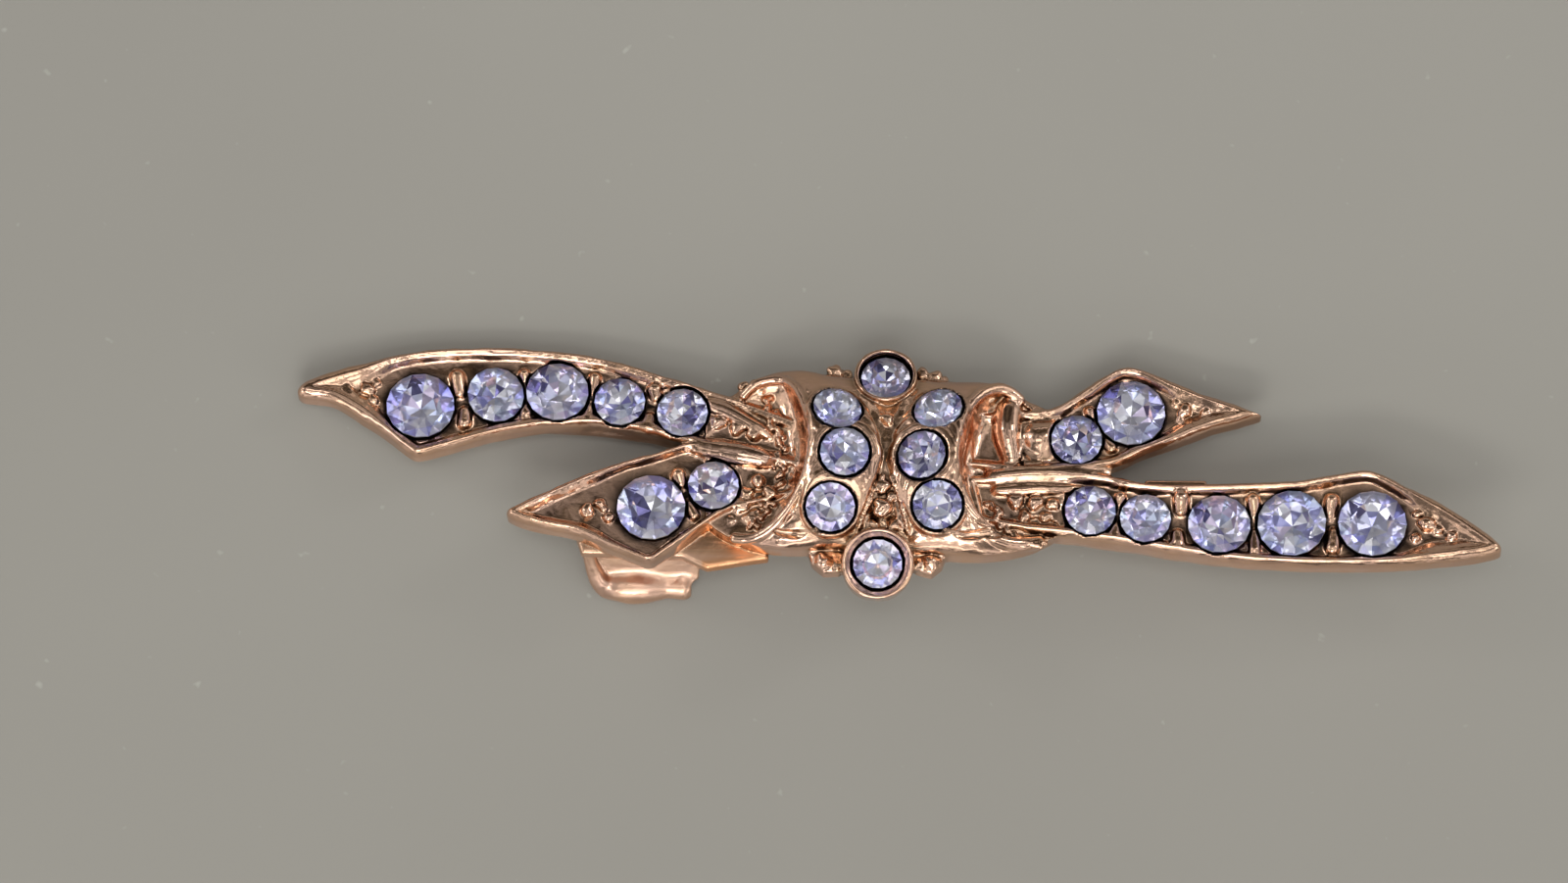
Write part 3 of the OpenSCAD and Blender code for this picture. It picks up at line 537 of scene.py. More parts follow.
def tail(name, drop=0):
    """Ribbon tail: raised rounded rims round a sunken floor."""
    crest_in, ledge_drop, ledge_end, slope_w, tip_crest, tip_slope_w = RIMS[name]
    first, second = ROWS_OF_STONES[name][:2]
    outwards = np.sign(first.x - second.x)
    outline = [(*row, 1)[:3] for row in TAILS[name]]
    fine = rounded(refine(outline, 3, closed=True), TIP_ROUND)

    def distance(x, y, z):
        inset = inset_map(fine, x, y)
        tipwards = ease((outwards * (x - first.x) - TIP_START * first.size) / TIP_RUN)
        width = slope_w + (tip_slope_w - slope_w) * tipwards
        crest = crest_in + (tip_crest - crest_in) * tipwards
        t = np.clip((inset - crest - ledge_end) / width, 0, 1)
        depth = RIM_H - FLOOR_H - ledge_drop
        shoulder = np.clip(1 - inset / crest, 0, 1)
        ridge = RIDGE_H * np.exp(-(((inset - crest - ledge_end) / RIDGE_W) ** 2))
        ledge = ledge_drop * ease((inset - crest) / LEDGE_W)
        top = RIM_H - ledge + ridge - depth * ease(t) - EDGE_DROP * shoulder * shoulder - drop
        steep = depth * 6 * t * (1 - t) / width
        roof = (z - top) / np.sqrt(1 + steep * steep)
        return soft_max(soft_max(roof, -inset, EDGE_SOFT), -drop - z, BACK_SOFT)

    return distance, *box_over(fine, -drop, RIM_H)


FINE_KNOT = refine(KNOT_SECTIONS, 3)


def oval(u, w, half, rise):
    """Distance to an oval from a point at u of its half width and w of its rise."""
    near = length(u, w)
    return near * (near - 1) / np.maximum(length(u / half, w / rise), 1e-3)


def dome(x, y, z):
    """Distance to the domed body of the knot."""
    places = [row[0] for row in FINE_KNOT]
    low, high, crest = (np.interp(x, places, [row[i] for row in FINE_KNOT]) for i in (1, 2, 3))
    half, rise = (high - low) / 2, np.maximum(crest - KNOT_WALL_H, 0.1)
    side = oval((y - (low + high) / 2) / half, np.maximum(z - KNOT_WALL_H, 0) / rise, half, rise)
    ends = np.maximum(places[0] - x, x - places[-1])
    return soft_max(soft_max(side, -z, BACK_SOFT), ends, 0.1)


def scoop(lip, side):
    """What a scoop leaves of the knot: a face that curves down and out from the lip to the floor."""
    rows = np.array(refine(lip, 3))

    def distance(x, y, z):
        nearest = np.full((x.shape[0], y.shape[1]), 1e6)
        out, height = np.zeros(nearest.shape), np.zeros(nearest.shape)
        for a, b in zip(rows[:-1], rows[1:]):
            t, ex, ey, dx, dy = flat_between(a, b, x[:, :, 0], y[:, :, 0])
            d = dx * dx + dy * dy
            closer = d < nearest
            nearest = np.where(closer, d, nearest)
            # Both lips run from their upper to their lower end, so the tails lie on one hand of them
            hand = side * (ex * dy - ey * dx)
            out = np.where(closer, np.sign(hand) * np.sqrt(d), out)
            height = np.where(closer, a[2] + t * (b[2] - a[2]), height)
        out, height = out[:, :, None], height[:, :, None]
        rise = np.maximum(height - SCOOP_FLOOR, 0.05)
        u, w = np.minimum(out - SCOOP_R, 0) / SCOOP_R, np.minimum(z - height, 0) / rise
        past = (out > SCOOP_R) & (z > height)
        open_side = np.where(past, np.minimum(out, z - SCOOP_FLOOR), -oval(u, w, SCOOP_R, rise))
        return -np.where(out > 0, open_side, np.maximum(out, -1.0))

    far = rows[:, 0].min() - SCOOP_REACH if side < 0 else rows[:, 0].max() + SCOOP_REACH
    return distance, *box_of([*rows[:, :3], (far, rows[0, 1], SCOOP_TOP)], 0.3)


def stone_frame(stone):
    """Matrix from a stone's own frame, with its table up, to the bow's."""
    lean_x, lean_y = math.radians(stone.lean_x), math.radians(stone.lean_y)
    turn = Matrix.Rotation(lean_x, 4, "Y") @ Matrix.Rotation(-lean_y, 4, "X")
    return Matrix.Translation(stone[:3]) @ turn


def from_bow(stone):
    """Matrix from the bow's frame to a stone's own."""
    return np.array(stone_frame(stone).inverted())


def stone_normal(stone):
    lean_x, lean_y = math.radians(stone.lean_x), math.radians(stone.lean_y)
    return math.cos(lean_y) * math.sin(lean_x), math.sin(lean_y), math.cos(lean_y) * math.cos(lean_x)


def round_shape(stone, profile, reach):
    """Shape turned round a stone's axis; profile takes the distance from the axis and the height on it."""
    back = from_bow(stone)

    def distance(x, y, z):
        px, py, pz = (row[0] * x + row[1] * y + row[2] * z + row[3] for row in back[:3])
        return profile(length(px, py), pz)

    return distance, *box_of([stone[:3]], reach)


def pit(stone):
    """Seat of a stone: a straight wall round its widest line and a cone behind it."""
    r = stone.size / 2 + PIT_GAP
    depth = BACK_SHARE * stone.size + PIT_GAP

    def profile(out, up):
        cone = np.maximum(r + (up + PIT_WALL) * (r - PIT_LOW_R) / (depth - PIT_WALL), PIT_LEAST_R)
        side = out - np.where(up > -PIT_WALL, r, cone)
        return np.maximum(np.maximum(side, up - PIT_TOP), -depth - up)

    return round_shape(stone, profile, max(r, depth, PIT_TOP))


def collet(stone, r):
    """Cup round a stone: a straight wall with a rounded lip, its inside sloping down to the stone."""
    ring_r = r - COLLET_LIP_R
    seat_r = stone.size / 2 + PIT_GAP

    def profile(out, up):
        above = up - COLLET_RISE + COLLET_LIP_R
        lip = length(out - ring_r, above) - COLLET_LIP_R
        inside = (COLLET_RISE - COLLET_LIP_R) * (out - seat_r) / (ring_r - seat_r)
        wall = np.maximum(np.maximum(out - r, above), (up - inside) / 2)
        cup = np.minimum(wall, np.maximum(out - r, up))
        return np.maximum(np.minimum(lip, cup), -COLLET_DEPTH - up)

    return round_shape(stone, profile, max(r, COLLET_DEPTH))


def top_of(sculpt, x, y):
    """Height of a sculpt's upper surface at x and y."""
    i, j = np.round(np.array((x, y)) / STEP).astype(int) - sculpt.first[:2]
    return (np.nonzero(sculpt.field[i, j] < 0)[0][-1] + 0.5 + sculpt.first[2]) * STEP


def sculpt_knot():
    knot = Sculpt((-10, -8.4, -1), (10.3, 6.6, 5))
    body = Sculpt((-9, -6.6, -0.6), (9.3, 5.3, 4.4))
    body.add((dome, (-8.3, -5.8, 0), (8.6, 4.5, 3.3)))
    body.cut(scoop(LEFT_LIP, -1), 0.08)
    body.cut(scoop(RIGHT_LIP, 1), 0.08)
    knot.join(body)
    for lip, r in ((LEFT_LIP, LEFT_LIP_R), (RIGHT_LIP, RIGHT_LIP_R)):
        knot.add(bar([(*row, r) for row in lip]), 0.15)
    for side in ("left", "right"):
        rows = []
        for i, rim in zip((1, 2, 3), BAND_RIMS):
            stone = STONES[f"stone_knot_{side}_{i}"]
            rows.append([*stone[:3], *stone_normal(stone), stone.size / 2 + rim])
        knot.add(ribbon(rows, BAND_BACK, BAND_FRONT, 0.35), 0.15)
    for path in KNOT_CUTS:
        knot.cut(bar(path), 0.12)
    slots = [[(x, y, top_of(knot, x, y), r) for x, y, r in path] for path in KNOT_SLOTS]
    for path in slots:
        knot.cut(bar(path), 0.05)
    for name, r in COLLETS.items():
        knot.add(collet(STONES[name], r), 0.1)
    for outline in SHOULDER_PLATES:
        knot.add(plate(outline, PLATE_LOW, PLATE_H, 0.3), 0.15)
    return knot


def sculpt_catch(casting):
    """Sheet catch soldered behind the bow: foot strip, wall and rolled edge with its opening."""
    roll_z = -CATCH_DEPTH
    catch = Sculpt((-16.6, -7.4, -5), (-5, -1.9, 0.8))
    foot, *foot_box = plate(CATCH_FOOT, FOOT_BOTTOM, FOOT_TOP, 0.15)

    def bent_foot(x, y, z):
        above = z - FOOT_TOP - (y - FOOT_BEND_Y) * FOOT_BEND
        return soft_max(foot(x, y, z), above / math.hypot(1, FOOT_BEND), 0.3)

    def sheet(x, y, z):
        t = np.clip((FOOT_TOP - z) / (FOOT_TOP - roll_z), 0, 1)
        left = SHEET_LEFT + SHEET_TAPER * t
        right = ROLL_RIGHT + SHEET_FLARE * (1 - t) ** 2
        lean = np.clip((FOOT_TOP - z) / (FOOT_TOP - SHEET_LOW_Z), 0, 1)
        front = SHEET_TOP_Y + (SHEET_LOW_Y - SHEET_TOP_Y) * lean
        side = SHEET_SLOPE * (abs(y - front - SHEET_T / 2) - SHEET_T / 2)
        edge = soft_max(side, np.maximum(left - x, x - right), 0.15)
        return soft_max(edge, np.maximum(z - FOOT_TOP + SHEET_INSET, roll_z + SHEET_INSET - z), 0.1)

    sheet_box = (SHEET_LEFT, SHEET_LOW_Y, roll_z), (ROLL_RIGHT + SHEET_FLARE, SHEET_TOP_Y, FOOT_TOP)
    catch.add((bent_foot, *foot_box))
    catch.add((sheet, *sheet_box), 0.4)
    for path, soft in ((CATCH_SPOON, 0.3), (CATCH_ROLL, 0.42), (CATCH_EDGE, 0.2)):
        catch.add(bar(path), soft)
    casting.join(catch, 0.05)
    right = ROLL_RIGHT + 1
    casting.cut(rod((BORE_LEFT, ROLL_Y, roll_z), (right, ROLL_Y, roll_z), BORE_R), 0.1)
    slot_low, slot_high = (BORE_LEFT, ROLL_Y, roll_z - PIN_R), (right, ROLL_Y + CATCH_R + 1, roll_z + PIN_R)
    casting.cut(block(slot_low, slot_high, 0.1), 0.1)


def sculpt_hinge(casting):
    """Hinge bracket soldered behind the bow: plate, two ears and the rivet between them."""
    def at(x, y, z):
        return HINGE_X + x, HINGE_Y + y, z

    low, high = at(-HINGE_HALF_X, -HINGE_HALF_Y, HINGE_LOW), at(HINGE_HALF_X, HINGE_HALF_Y, HINGE_TOP)
    casting.add(block(low, high, 0.15), 0.1)
    for side in (-1, 1):
        inner, outer = sorted((side * EAR_IN, side * EAR_OUT))
        casting.add(block(at(-EAR_R, inner, HINGE_Z), at(EAR_R, outer, EAR_TOP), 0.08))
        casting.add(rod(at(0, inner, HINGE_Z), at(0, outer, HINGE_Z), EAR_R, 0.08))
    reach = EAR_OUT + RIVET_HEAD
    casting.add(rod(at(0, -reach, HINGE_Z), at(0, reach, HINGE_Z), RIVET_R, 0.1))


def lumps(stones, chance):
    """Uneven lumps of metal between neighbouring stones, reaching in from both rims."""
    paths = []
    for one, other in zip(stones, stones[1:]):
        a, b = np.array(one[:2]), np.array(other[:2])
        along = (b - a) / np.linalg.norm(b - a)
        side = np.array([-along[1], along[0]])
        edge_a, edge_b = a + along * one.size / 2, b - along * other.size / 2
        middle, gap = (edge_a + edge_b) / 2, np.linalg.norm(edge_b - edge_a)
        reach = 0.36 * (one.size + other.size) / 2
        for hand in (-1, 1):
            outer = middle + hand * side * reach * chance.uniform(1, 1.25)
            inner = middle + hand * side * reach * chance.uniform(0.35, 0.75)
            inner += along * chance.uniform(-0.12, 0.12)
            r = 0.24 + 0.18 * min(gap, 1) + chance.uniform(-0.04, 0.04)
            low_end = (*inner, FLOOR_H + chance.uniform(-0.12, 0.04), 0.85 * r)
            paths.append([(*outer, FLOOR_H + 0.1, r), low_end])
    return paths


def sparkles(lip, side, chance):
    """Fine granules scattered along the foot of a scoop."""
    path = refine(lip, 2)
    rows = []
    for a in path[len(path) // 5:-len(path) // 5]:
        for _ in range(3):
            out = SCOOP_R * chance.uniform(0.95, 1.4)
            x, y = a[0] + side * out, a[1] + chance.uniform(-0.2, 0.2)
            rows.append((x, y, SCOOP_FLOOR + chance.uniform(0, 0.18), chance.uniform(0.1, 0.19)))
    return rows


def cracked(granule, chance):
    """A granule as the foundry leaves it: a lump with smaller ones grown on to it."""
    x, y, z, r = granule
    rows = [(x, y, z, 0.85 * r)]
    for _ in range(3):
        angle = chance.uniform(0, 2 * math.pi)
        px, py = x + 0.6 * r * math.cos(angle), y + 0.6 * r * math.sin(angle)
        rows.append((px, py, z + chance.uniform(-0.1, 0.3) * r, 0.5 * r))
    return rows


def sculpt_casting():
    casting = Sculpt((-30.8, -8.6, -5), (32.4, 6.8, 5.2))
    for name in ("left_upper", "right_upper"):
        casting.add(tail(name))
    for name in ("left_lower", "right_lower"):
        casting.add(tail(name, LOWER_TAIL_DROP), 0.1)
    for name, stones in ROWS_OF_STONES.items():
        rows = [[stone.x, stone.y, 0, 0, 0, 1, stone.size / 2 + BELLY_EDGE] for stone in stones]
        rows.append([*BELLY_ROOTS[name], 0, 0, 0, 1, BELLY_ROOT_R])
        casting.add(ribbon(rows, -BELLY_DEPTH, 0.4, 0.5, 1), 0.1)
    chance = random.Random(11)
    for path in SCOOP_BARS:
        casting.add(bar(path), 0.25)
    for lump in RIGHT_LUMPS:
        casting.add(bead(*lump), 0.4)
    casting.join(sculpt_knot(), 0.12)
    for stones in ROWS_OF_STONES.values():
        for path in lumps(stones, chance):
            casting.add(bar(path, 0), 0.2)
    for granule in GRANULES:
        for part in cracked(granule, chance):
            casting.add(bead(*part), 0.1)
    for granule in sparkles(LEFT_LIP, -1, chance) + sparkles(RIGHT_LIP[6:], 1, chance):
        casting.add(bead(*granule), 0.08)
    for path in BEADED_EDGES:
        for row in refine(path, 2):
            casting.add(bead(*row, chance.uniform(0.12, 0.19)), 0.06)
    sculpt_catch(casting)
    sculpt_hinge(casting)
    for stone in STONES.values():
        casting.cut(pit(stone), 0.05)
    return casting


def surface_net(sculpt):
    """Closed mesh of quads on the surface of a sculpt: a vertex in each grid cell that it crosses."""
    field = sculpt.field
    inside = field < 0
    stride = np.array([field.shape[1] * field.shape[2], field.shape[2], 1])
    cells, places = [], []
    for axis in range(3):
        low, high = [slice(None)] * 3, [slice(None)] * 3
        low[axis], high[axis] = slice(0, -1), slice(1, None)
        edges = np.argwhere(inside[tuple(low)] != inside[tuple(high)])
        unit = np.eye(3, dtype=int)
        start, end = field[tuple(edges.T)], field[tuple((edges + unit[axis]).T)]
        crossing = edges + (start / (start - end))[:, None] * unit[axis]
        b, c = unit[(axis + 1) % 3], unit[(axis + 2) % 3]
        corners = np.stack([edges @ stride - shift @ stride for shift in (0 * b, b, b + c, c)], axis=1)
        outwards = start < 0
        corners[~outwards] = corners[~outwards][:, ::-1]
        cells.append(corners)
        places.append(crossing)
    cells, places = np.concatenate(cells), np.concatenate(places)
    _, quads = np.unique(cells, return_inverse=True)
    quads = quads.reshape(cells.shape)
    corners, count = quads.ravel(), np.bincount(quads.ravel())
    points = np.stack([np.bincount(corners, np.repeat(p, 4)) / count for p in places.T], axis=1)
    mesh = bpy.data.meshes.new("bow")
    mesh.from_pydata(((points + sculpt.first) * STEP).tolist(), [], quads.tolist())
    return mesh


def new_object(name, data):
    obj = bpy.data.objects.new(name, data)
    bpy.context.scene.collection.objects.link(obj)
    return obj


def decimated(mesh):
    """The mesh of quads brought down to MOST_TRIANGLES."""
    obj = new_object("work", mesh)
    modifier = obj.modifiers.new("fewer", "DECIMATE")
    modifier.ratio = MOST_TRIANGLES / (2 * len(mesh.polygons))
    modifier.use_collapse_triangulate = True
    result = bpy.data.meshes.new_from_object(obj.evaluated_get(bpy.context.evaluated_depsgraph_get()))
    bpy.data.objects.remove(obj)
    return result


def coordinates(mesh):
    points = np.zeros(len(mesh.vertices) * 3, np.float32)
    mesh.vertices.foreach_get("co", points)
    return points.reshape(-1, 3).astype(float)


def set_coordinates(mesh, points):
    mesh.vertices.foreach_set("co", points.astype(np.float32).ravel())


def add_attribute(mesh, name, values):
    mesh.attributes.new(name, "FLOAT", "POINT").data.foreach_set("value", values.astype(np.float32))


# How far out a crease and a hollow are felt for; creases and hollows get painted shade, and hollows also
# more unevenness
CAVITIES = {"crease": 0.25, "hollow": 0.6}
WAVES = 28
# Unevenness of the metal: shortest and longest wave, mean height on open faces, and more in hollows
UNEVENNESS = [(1.1, 2.6, 0.01, 0.01), (0.6, 1.2, 0.0025, 0.01), (0.3, 0.6, 0.002, 0.005)]
# Parts with a look of their own, the catch's bare copper foot and the dull catch: middle, half size
PATCHES = {
    "copper": ((-7.2, -4.9, -0.2), (1.9, 1, 0.6)),
    "matte": ((-11, -4.9, -2.4), (5.6, 3, 2.4)),
}
PATCH_EDGE = 0.15


def uneven(points, shortest, longest, seed):
    """Height, about 1 on average, of many crossing waves at each point, and its slope."""
    chance = np.random.default_rng(seed)
    directions = chance.normal(size=(WAVES, 3))
    directions /= np.linalg.norm(directions, axis=1, keepdims=True)
    waves = directions * (2 * math.pi / chance.uniform(shortest, longest, (WAVES, 1)))
    turns = points @ waves.T + chance.uniform(0, 2 * math.pi, WAVES)
    height = math.sqrt(2 / WAVES)
    return height * np.sin(turns).sum(axis=1), height * np.cos(turns) @ waves


SEAT_BELOW, SEAT_ABOVE, SEAT_ASIDE = 0.08, 0.1, 0.03  # how far past a pit the metal counts as lining it and takes its painted shade


def pit_shade_mask(points, normals):
    """1 where the surface lines the inside of a stone's pit, where the gap's shade is painted black, else
    0.
    """
    inside = np.zeros(len(points))
    for stone in STONES.values():
        back = from_bow(stone)
        local = points @ back[:3, :3].T + back[:3, 3]
        out, up = np.hypot(local[:, 0], local[:, 1]), local[:, 2]
        facing_out = (local[:, :2] * (normals @ back[:2, :3].T)).sum(axis=1) > 0.3 * out
        lowest = -BACK_SHARE * stone.size - PIT_GAP - SEAT_BELOW
        near = (out < stone.size / 2 + PIT_GAP + SEAT_ASIDE) & (up > lowest) & (up < SEAT_ABOVE)
        inside = np.maximum(inside, near & ~facing_out)
    return inside


def make_casting():
    sculpt = sculpt_casting()
    mesh = decimated(surface_net(sculpt))
    points = coordinates(mesh)
    normals = sculpt.normals(points)
    felt = {}
    for name, reach in CAVITIES.items():
        felt[name] = np.clip(1 - sculpt.sample(points + reach * normals) / reach, 0, 1)
        add_attribute(mesh, name, felt[name])
    add_attribute(mesh, "pit_shade", pit_shade_mask(points, normals))
    for name, (middle, half) in PATCHES.items():
        past = (np.abs(points - middle) - half).max(axis=1)
        add_attribute(mesh, name, ease(1 - past / PATCH_EDGE))
    shift, tilt = np.zeros(len(points)), np.zeros(points.shape)
    sheltered = np.clip(1.6 * felt["hollow"], 0, 1)
    face_up = ease(2 * points[:, 2])
    for seed, (shortest, longest, open_height, hollow_height) in enumerate(UNEVENNESS):
        height, slope = uneven(points, shortest, longest, seed)
        size = open_height + hollow_height * sheltered * face_up
        shift += size * height
        tilt += size[:, None] * slope
    tilt -= (tilt * normals).sum(axis=1, keepdims=True) * normals
    set_coordinates(mesh, points + shift[:, None] * normals)
    mesh.transform(AT_REST)
    set_coordinates(mesh, np.clip(coordinates(mesh), cad_low, cad_high))
    mesh.shade_smooth()
    normals -= tilt
    normals /= np.linalg.norm(normals, axis=1, keepdims=True)
    turn = np.array(AT_REST.to_3x3()) / MM
    mesh.normals_split_custom_set_from_vertices((normals @ turn.T).tolist())
    obj = new_object("bow", mesh)
    mesh.materials.append(metal_material())
    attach(obj, "root")
    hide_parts("bow_casting")


def ring(count, radius, turn, z):
    angles = [2 * math.pi * k / count + turn for k in range(count)]
    return [Vector((radius * math.cos(a), radius * math.sin(a), z)) for a in angles]


def cut_stone(diameter):
    """Points and facets of a round cut stone, those of the crown first and then the others."""
    r = diameter / 2
    girdle = GIRDLE_SHARE * r
    crown, depth = CROWN_SHARE * diameter, BACK_SHARE * diameter
    half = math.pi / 8
    points = (
        ring(8, TABLE_SHARE * r, 0, girdle + crown)
        + ring(8, STAR_SHARE * r, half, girdle + STAR_RISE * crown)
        + ring(16, r, 0, girdle)
        + ring(16, r, 0, -girdle)
        + ring(8, BACK_RING_SHARE * r, half, -girdle - BACK_RING_DEPTH * depth)
        + [Vector((0, 0, -depth))]
    )
    star, top, low, back, tip = 8, 16, 32, 48, 56
    crown_facets, back_facets = [tuple(range(8))], []
    for k in range(8):
        n, b = (k + 1) % 8, (k + 7) % 8
        here, after, next_here = 2 * k, 2 * k + 1, (2 * k + 2) % 16
        crown_facets += [
            (k, star + k, n), (k, top + here, star + k), (k, star + b, top + here),
            (star + k, top + here, top + after), (star + k, top + after, top + next_here),
        ]
        back_facets += [
            (low + here, back + k, low + after), (low + after, back + k, low + next_here),
            (low + here, back + b, back + k), (back + k, back + b, tip),
        ]
    sides = [(top + k, low + k, low + (k + 1) % 16, top + (k + 1) % 16) for k in range(16)]
    return points, crown_facets, sides + back_facets


def make_stones(glass, foil):
    chance = random.Random(7)
    for name, stone in STONES.items():
        points, crown, back = cut_stone(stone.size)
        mesh = bpy.data.meshes.new(name)
        mesh.from_pydata(points, [], crown + back)
        mesh.transform(Matrix.Rotation(chance.uniform(0, math.pi / 4), 4, "Z"))
        mesh.transform(AT_REST @ stone_frame(stone))
        mesh.materials.append(glass)
        mesh.materials.append(foil)
        reflection_tones = []
        for i, facet in enumerate(mesh.polygons):
            facet.material_index = int(i >= len(crown))
            # The table stays clear; every other facet gets a random shade of painted reflection
            reflection_tones.append(chance.random() if i else 0)
        mesh.attributes.new("reflection_tone", "FLOAT", "FACE").data.foreach_set("value", reflection_tones)
        obj = new_object("cut_" + name, mesh)
        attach(obj, "root")
        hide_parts(name)


class Shading:
    """Adds nodes to a tree of nodes; each method gives an output of its new node."""

    def __init__(self, tree):
        self.nodes, self.links = tree.nodes, tree.links

    def feed(self, node, inputs):
        """Gives a node's inputs numbers, colours or other nodes' outputs."""
        for name, value in inputs.items():
            socket = node.inputs[name]
            if isinstance(value, bpy.types.NodeSocket):
                self.links.new(value, socket)
            else:
                socket.default_value = (*value, 1) if socket.type == "RGBA" else value

    def add(self, kind, output, inputs, **settings):
        node = self.nodes.new("ShaderNode" + kind)
        for name, value in settings.items():
            setattr(node, name, value)
        self.feed(node, inputs)
        return node.outputs[output]

    def attribute(self, name):
        return self.add("Attribute", "Fac", {}, attribute_name=name)

    def noise(self, place, scale, detail):
        return self.add("TexNoise", "Fac", {
            "Vector": place, "Scale": scale, "Detail": detail, "Roughness": 0.55,
        })

    def spread(self, source, low, high, to_low, to_high):
        """Maps low to high on to to_low to to_high."""
        return self.add("MapRange", "Result", {
            "Value": source, "From Min": low, "From Max": high, "To Min": to_low, "To Max": to_high,
        })

    def mix(self, share, first, second):
        """Blend of two colours, which are the mix node's inputs 6 and 7 and its output 2."""
        return self.add("Mix", 2, {"Factor": share, 6: first, 7: second}, data_type="RGBA")


def new_material(name):
    material = bpy.data.materials.new(name)
    material.use_nodes = True
    return material, Shading(material.node_tree), material.node_tree.nodes["Principled BSDF"]


ROSE_GOLD = (0.73, 0.47, 0.355)
WARM_GOLD = (0.84, 0.52, 0.31)
# Darker old gold for hollows: partly patina, partly painted shade
PATINA_AND_PAINTED_SHADE = (0.47, 0.3, 0.18)
COPPER = (0.78, 0.4, 0.21)
# Near-black painted shade for creases
CREASE_PAINTED_SHADE = (0.08, 0.038, 0.018)
# Painted black shade of the gap round each stone, on the walls of its pit
PIT_PAINTED_SHADE = (0.06, 0.042, 0.034)
PIN_TONES = (0.84, 0.56, 0.38), (0.74, 0.46, 0.28)
FLOOR_TONES = (0.33, 0.318, 0.285), (0.302, 0.29, 0.26)
FLOOR_FLECK = (0.6, 0.6, 0.56)
# Shades of the stones' facets in front and of their foil behind, painted reflections set facet by facet in
# place of what each facet mirrors; columns: where each begins, its colour
GLASS_REFLECTION_SHADES = [
    (0, (0.93, 0.93, 1)), (0.45, (0.8, 0.81, 1)), (0.7, (0.9, 0.84, 1)), (0.85, (0.6, 0.6, 0.85)),
]
FOIL_REFLECTION_SHADES = [
    (0, (1, 1, 1)), (0.36, (0.82, 0.84, 1)), (0.54, (0.94, 0.82, 1)),
    (0.66, (0.54, 0.55, 0.9)), (0.78, (0.76, 0.84, 1)), (0.9, (0.18, 0.17, 0.36)),
]


def metal_material():
    material, tree, shader = new_material("rose_gold_metal")
    place = tree.add("TexCoord", "Object", {})
    patches, grain, waves = tree.noise(place, 450, 4), tree.noise(place, 5200, 3), tree.noise(place, 900, 2)
    # Hollows turn old gold: partly patina, partly painted shade
    hollow_patina_and_shade = tree.spread(tree.attribute("hollow"), 0.2, 0.85, 0, 0.7)
    # Painted shade: creases, where other metal comes close, go near black
    crease_painted_shade = tree.spread(tree.attribute("crease"), 0.35, 0.9, 0, 0.75)
    colour = tree.mix(tree.spread(patches, 0.35, 0.7, 0, 0.55), ROSE_GOLD, WARM_GOLD)
    colour = tree.mix(hollow_patina_and_shade, colour, PATINA_AND_PAINTED_SHADE)
    colour = tree.mix(tree.attribute("copper"), colour, COPPER)
    colour = tree.mix(crease_painted_shade, colour, CREASE_PAINTED_SHADE)
    matte = tree.spread(tree.attribute("matte"), 0, 1, 0, 0.32)
    worn = tree.spread(patches, 0.3, 0.7, 0.09, 0.22)
    rough = tree.add("Math", "Value", {0: worn, 1: matte}, operation="MAXIMUM")
    soft = tree.add("Bump", "Normal", {"Strength": 0.35, "Distance": 0.00008, "Height": waves})
    tree.feed(shader, {
        # Painted shade in the gap round each stone
        "Base Color": tree.mix(tree.attribute("pit_shade"), colour, PIT_PAINTED_SHADE),
        "Metallic": 1,
        "Roughness": rough,
        "Normal": tree.add("Bump", "Normal", {
            "Strength": 0.18, "Distance": 0.00004, "Height": grain, "Normal": soft,
        }),
    })
    return material


def pin_material():
    material, tree, shader = new_material("pin_wire")
    streaks = tree.noise(tree.add("TexCoord", "Object", {}), 1500, 3)
    tree.feed(shader, {
        "Base Color": tree.mix(tree.spread(streaks, 0.3, 0.7, 0, 1), *PIN_TONES),
        "Metallic": 1,
        "Roughness": tree.spread(streaks, 0.3, 0.7, 0.18, 0.32),
    })
    return material


def stone_material(name, shades, inputs):
    """Glass or foil in which each facet has one of the shades, by a random number of its own: painted
    reflections, light and dark.
    """
    material, tree, shader = new_material(name)
    ramp = tree.nodes.new("ShaderNodeValToRGB")
    ramp.color_ramp.interpolation = "CONSTANT"
    elements = ramp.color_ramp.elements
    while len(elements) < len(shades):
        elements.new(1)
    for element, (place, colour) in zip(elements, shades):
        element.position, element.color = place, (*colour, 1)
    tree.feed(ramp, {"Fac": tree.attribute("reflection_tone")})
    tree.feed(shader, {"Base Color": ramp.outputs["Color"], **inputs})
    return material


def floor_material():
    material, tree, shader = new_material("pale_floor")
    place = tree.add("TexCoord", "Object", {})
    base = tree.mix(tree.spread(tree.noise(place, 12, 3), 0.35, 0.65, 0, 1), *FLOOR_TONES)
    fleck = tree.spread(tree.noise(place, 900, 2), 0.72, 0.8, 0, 0.35)
    tree.feed(shader, {"Base Color": tree.mix(fleck, base, FLOOR_FLECK), "Roughness": 0.32})
    return material


FLOOR_HALF = 1.2


def make_floor():
    mesh = bpy.data.meshes.new("floor")
    corners = [(x * FLOOR_HALF, y * FLOOR_HALF, 0) for x, y in ((-1, -1), (1, -1), (1, 1), (-1, 1))]
    mesh.from_pydata(corners, [], [(0, 1, 2, 3)])
    mesh.materials.append(floor_material())
    floor = new_object("floor", mesh)


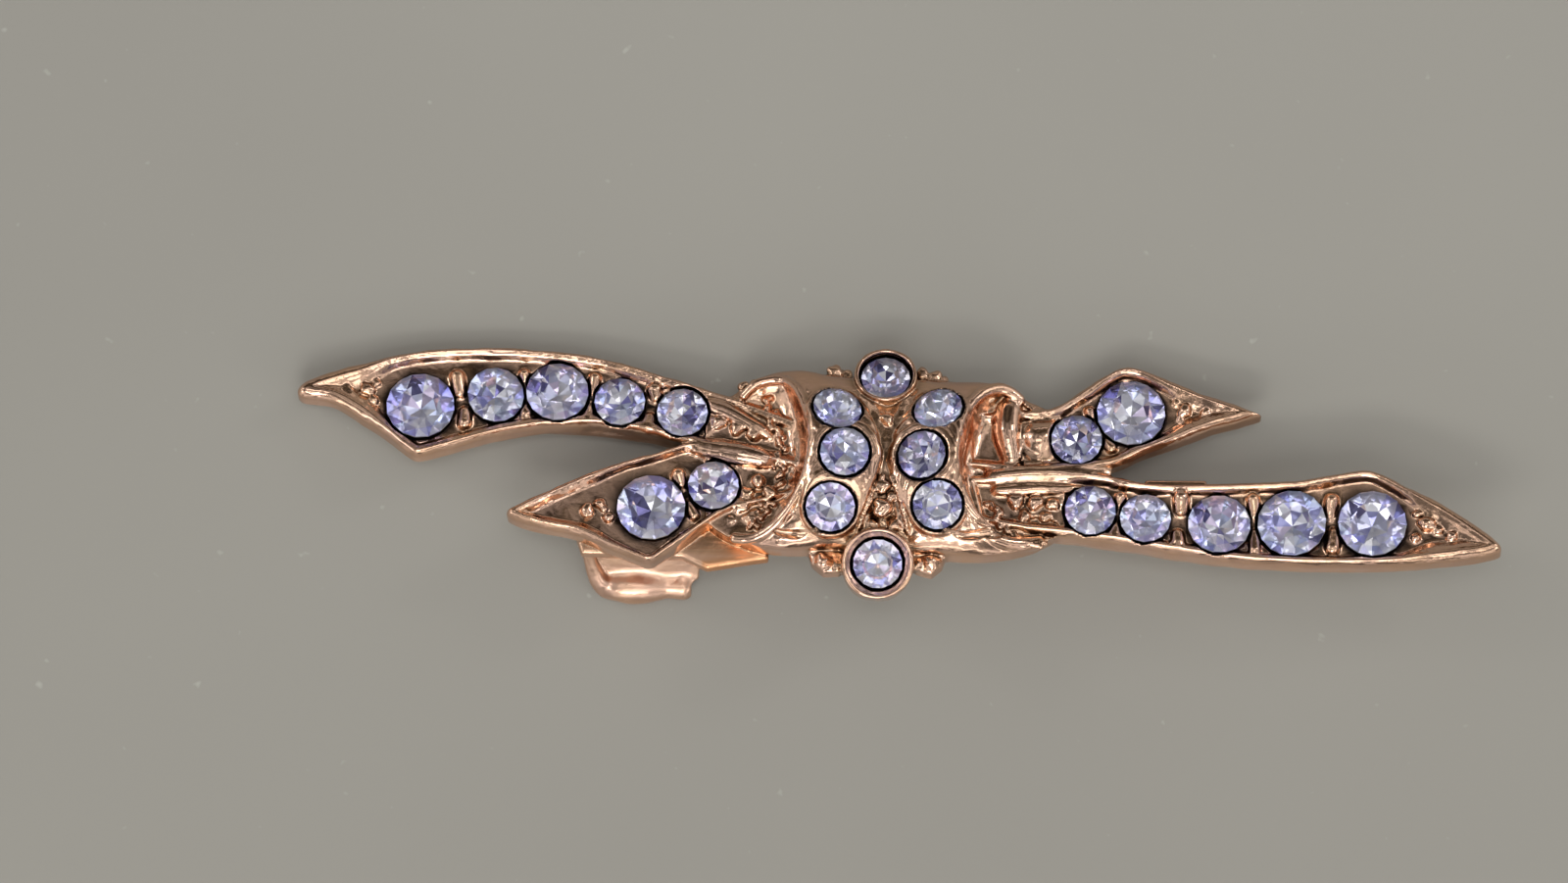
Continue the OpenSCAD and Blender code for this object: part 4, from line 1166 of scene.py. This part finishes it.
# Softboxes: azimuth and height above the floor in degrees, distance, width, height, brightness
SOFTBOXES = {
    "window": (-100, 50, 0.45, 0.24, 0.08, 7),
    "front_left": (-150, 22, 0.5, 0.22, 0.1, 2.2),
    "front_right": (-35, 25, 0.5, 0.2, 0.12, 2.4),
    "left": (165, 12, 0.55, 0.3, 0.06, 1.5),
    "right": (20, 14, 0.55, 0.24, 0.06, 1.6),
    "behind": (85, 8, 0.6, 0.5, 0.05, 0.9),
    "above": (-80, 68, 0.5, 0.3, 0.16, 2.2),
    "overhead": (90, 82, 0.5, 0.26, 0.1, 2.4),
    "front": (-92, 26, 0.5, 0.3, 0.08, 1.8),
    "back_left": (150, 32, 0.5, 0.09, 0.06, 8),
    "back_right": (35, 32, 0.5, 0.09, 0.06, 8),
}
LIGHT_COLOUR = (1, 0.98, 0.95)
# The room's tones, in patches of two each
BRIGHT_SIDE = (0.95, 0.95, 0.94), (0.12, 0.12, 0.115)
DARK_SIDE = (0.035, 0.03, 0.024), (0.13, 0.115, 0.09)
DARK_CORNER = (0, 0.978, 0.208)  # towards the dark part of the room, low behind the bow
ROOM_BRIGHTNESS = 0.98


def make_softboxes():
    for name, (azimuth, height, distance, width, tall, brightness) in SOFTBOXES.items():
        azimuth, height = math.radians(azimuth), math.radians(height)
        place = distance * Vector((
            math.cos(azimuth) * math.cos(height), math.sin(azimuth) * math.cos(height), math.sin(height)
        ))
        light = bpy.data.lights.new(name, "AREA")
        light.shape, light.size, light.size_y = "RECTANGLE", width, tall
        light.energy, light.color = brightness * math.pi * width * tall, LIGHT_COLOUR
        obj = new_object(name, light)
        obj.location = place
        obj.rotation_euler = (-place).to_track_quat("-Z", "Y").to_euler()


def make_room():
    world = bpy.data.worlds.new("room")
    bpy.context.scene.world = world
    world.use_nodes = True
    tree = Shading(world.node_tree)
    direction = tree.add("TexCoord", "Generated", {})
    towards = tree.add("VectorMath", "Value", {0: direction, 1: DARK_CORNER}, operation="DOT_PRODUCT")
    patch = tree.spread(tree.noise(direction, 3.5, 2), 0.42, 0.58, 0, 1)
    darkness = tree.mix(patch, *DARK_SIDE)
    lightness = tree.mix(patch, *BRIGHT_SIDE)
    bright = tree.spread(towards, 0.88, 0.68, 0, 1)
    tree.feed(tree.nodes["Background"], {
        "Color": tree.mix(bright, darkness, lightness), "Strength": ROOM_BRIGHTNESS,
    })


PHOTO_WIDTH = 0.08
PHOTO_MIDDLE = (-0.0058, 0.00174)
CAMERA_H = 0.5
SENSOR = 36
STONE_LEVEL = 0.0035


def make_camera():
    camera = bpy.data.cameras.new("camera")
    camera.sensor_width = SENSOR
    camera.lens = SENSOR * (CAMERA_H - STONE_LEVEL) / PHOTO_WIDTH
    camera.clip_start, camera.clip_end = 0.01, 10
    obj = new_object("camera", camera)
    obj.location = (*PHOTO_MIDDLE, CAMERA_H)
    bpy.context.scene.camera = obj


make_camera()
make_floor()
make_softboxes()
make_room()
make_casting()
make_stones(
    stone_material("lavender_glass", GLASS_REFLECTION_SHADES, {"Transmission Weight": 1, "IOR": 1.56, "Roughness": 0}),
    stone_material("lavender_foil", FOIL_REFLECTION_SHADES, {"Metallic": 0.65, "Roughness": 0.08}),
)
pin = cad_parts["pin_stem"]
pin.data.materials.clear()
pin.data.materials.append(pin_material())
bpy.context.scene.view_settings.view_transform = "Standard"
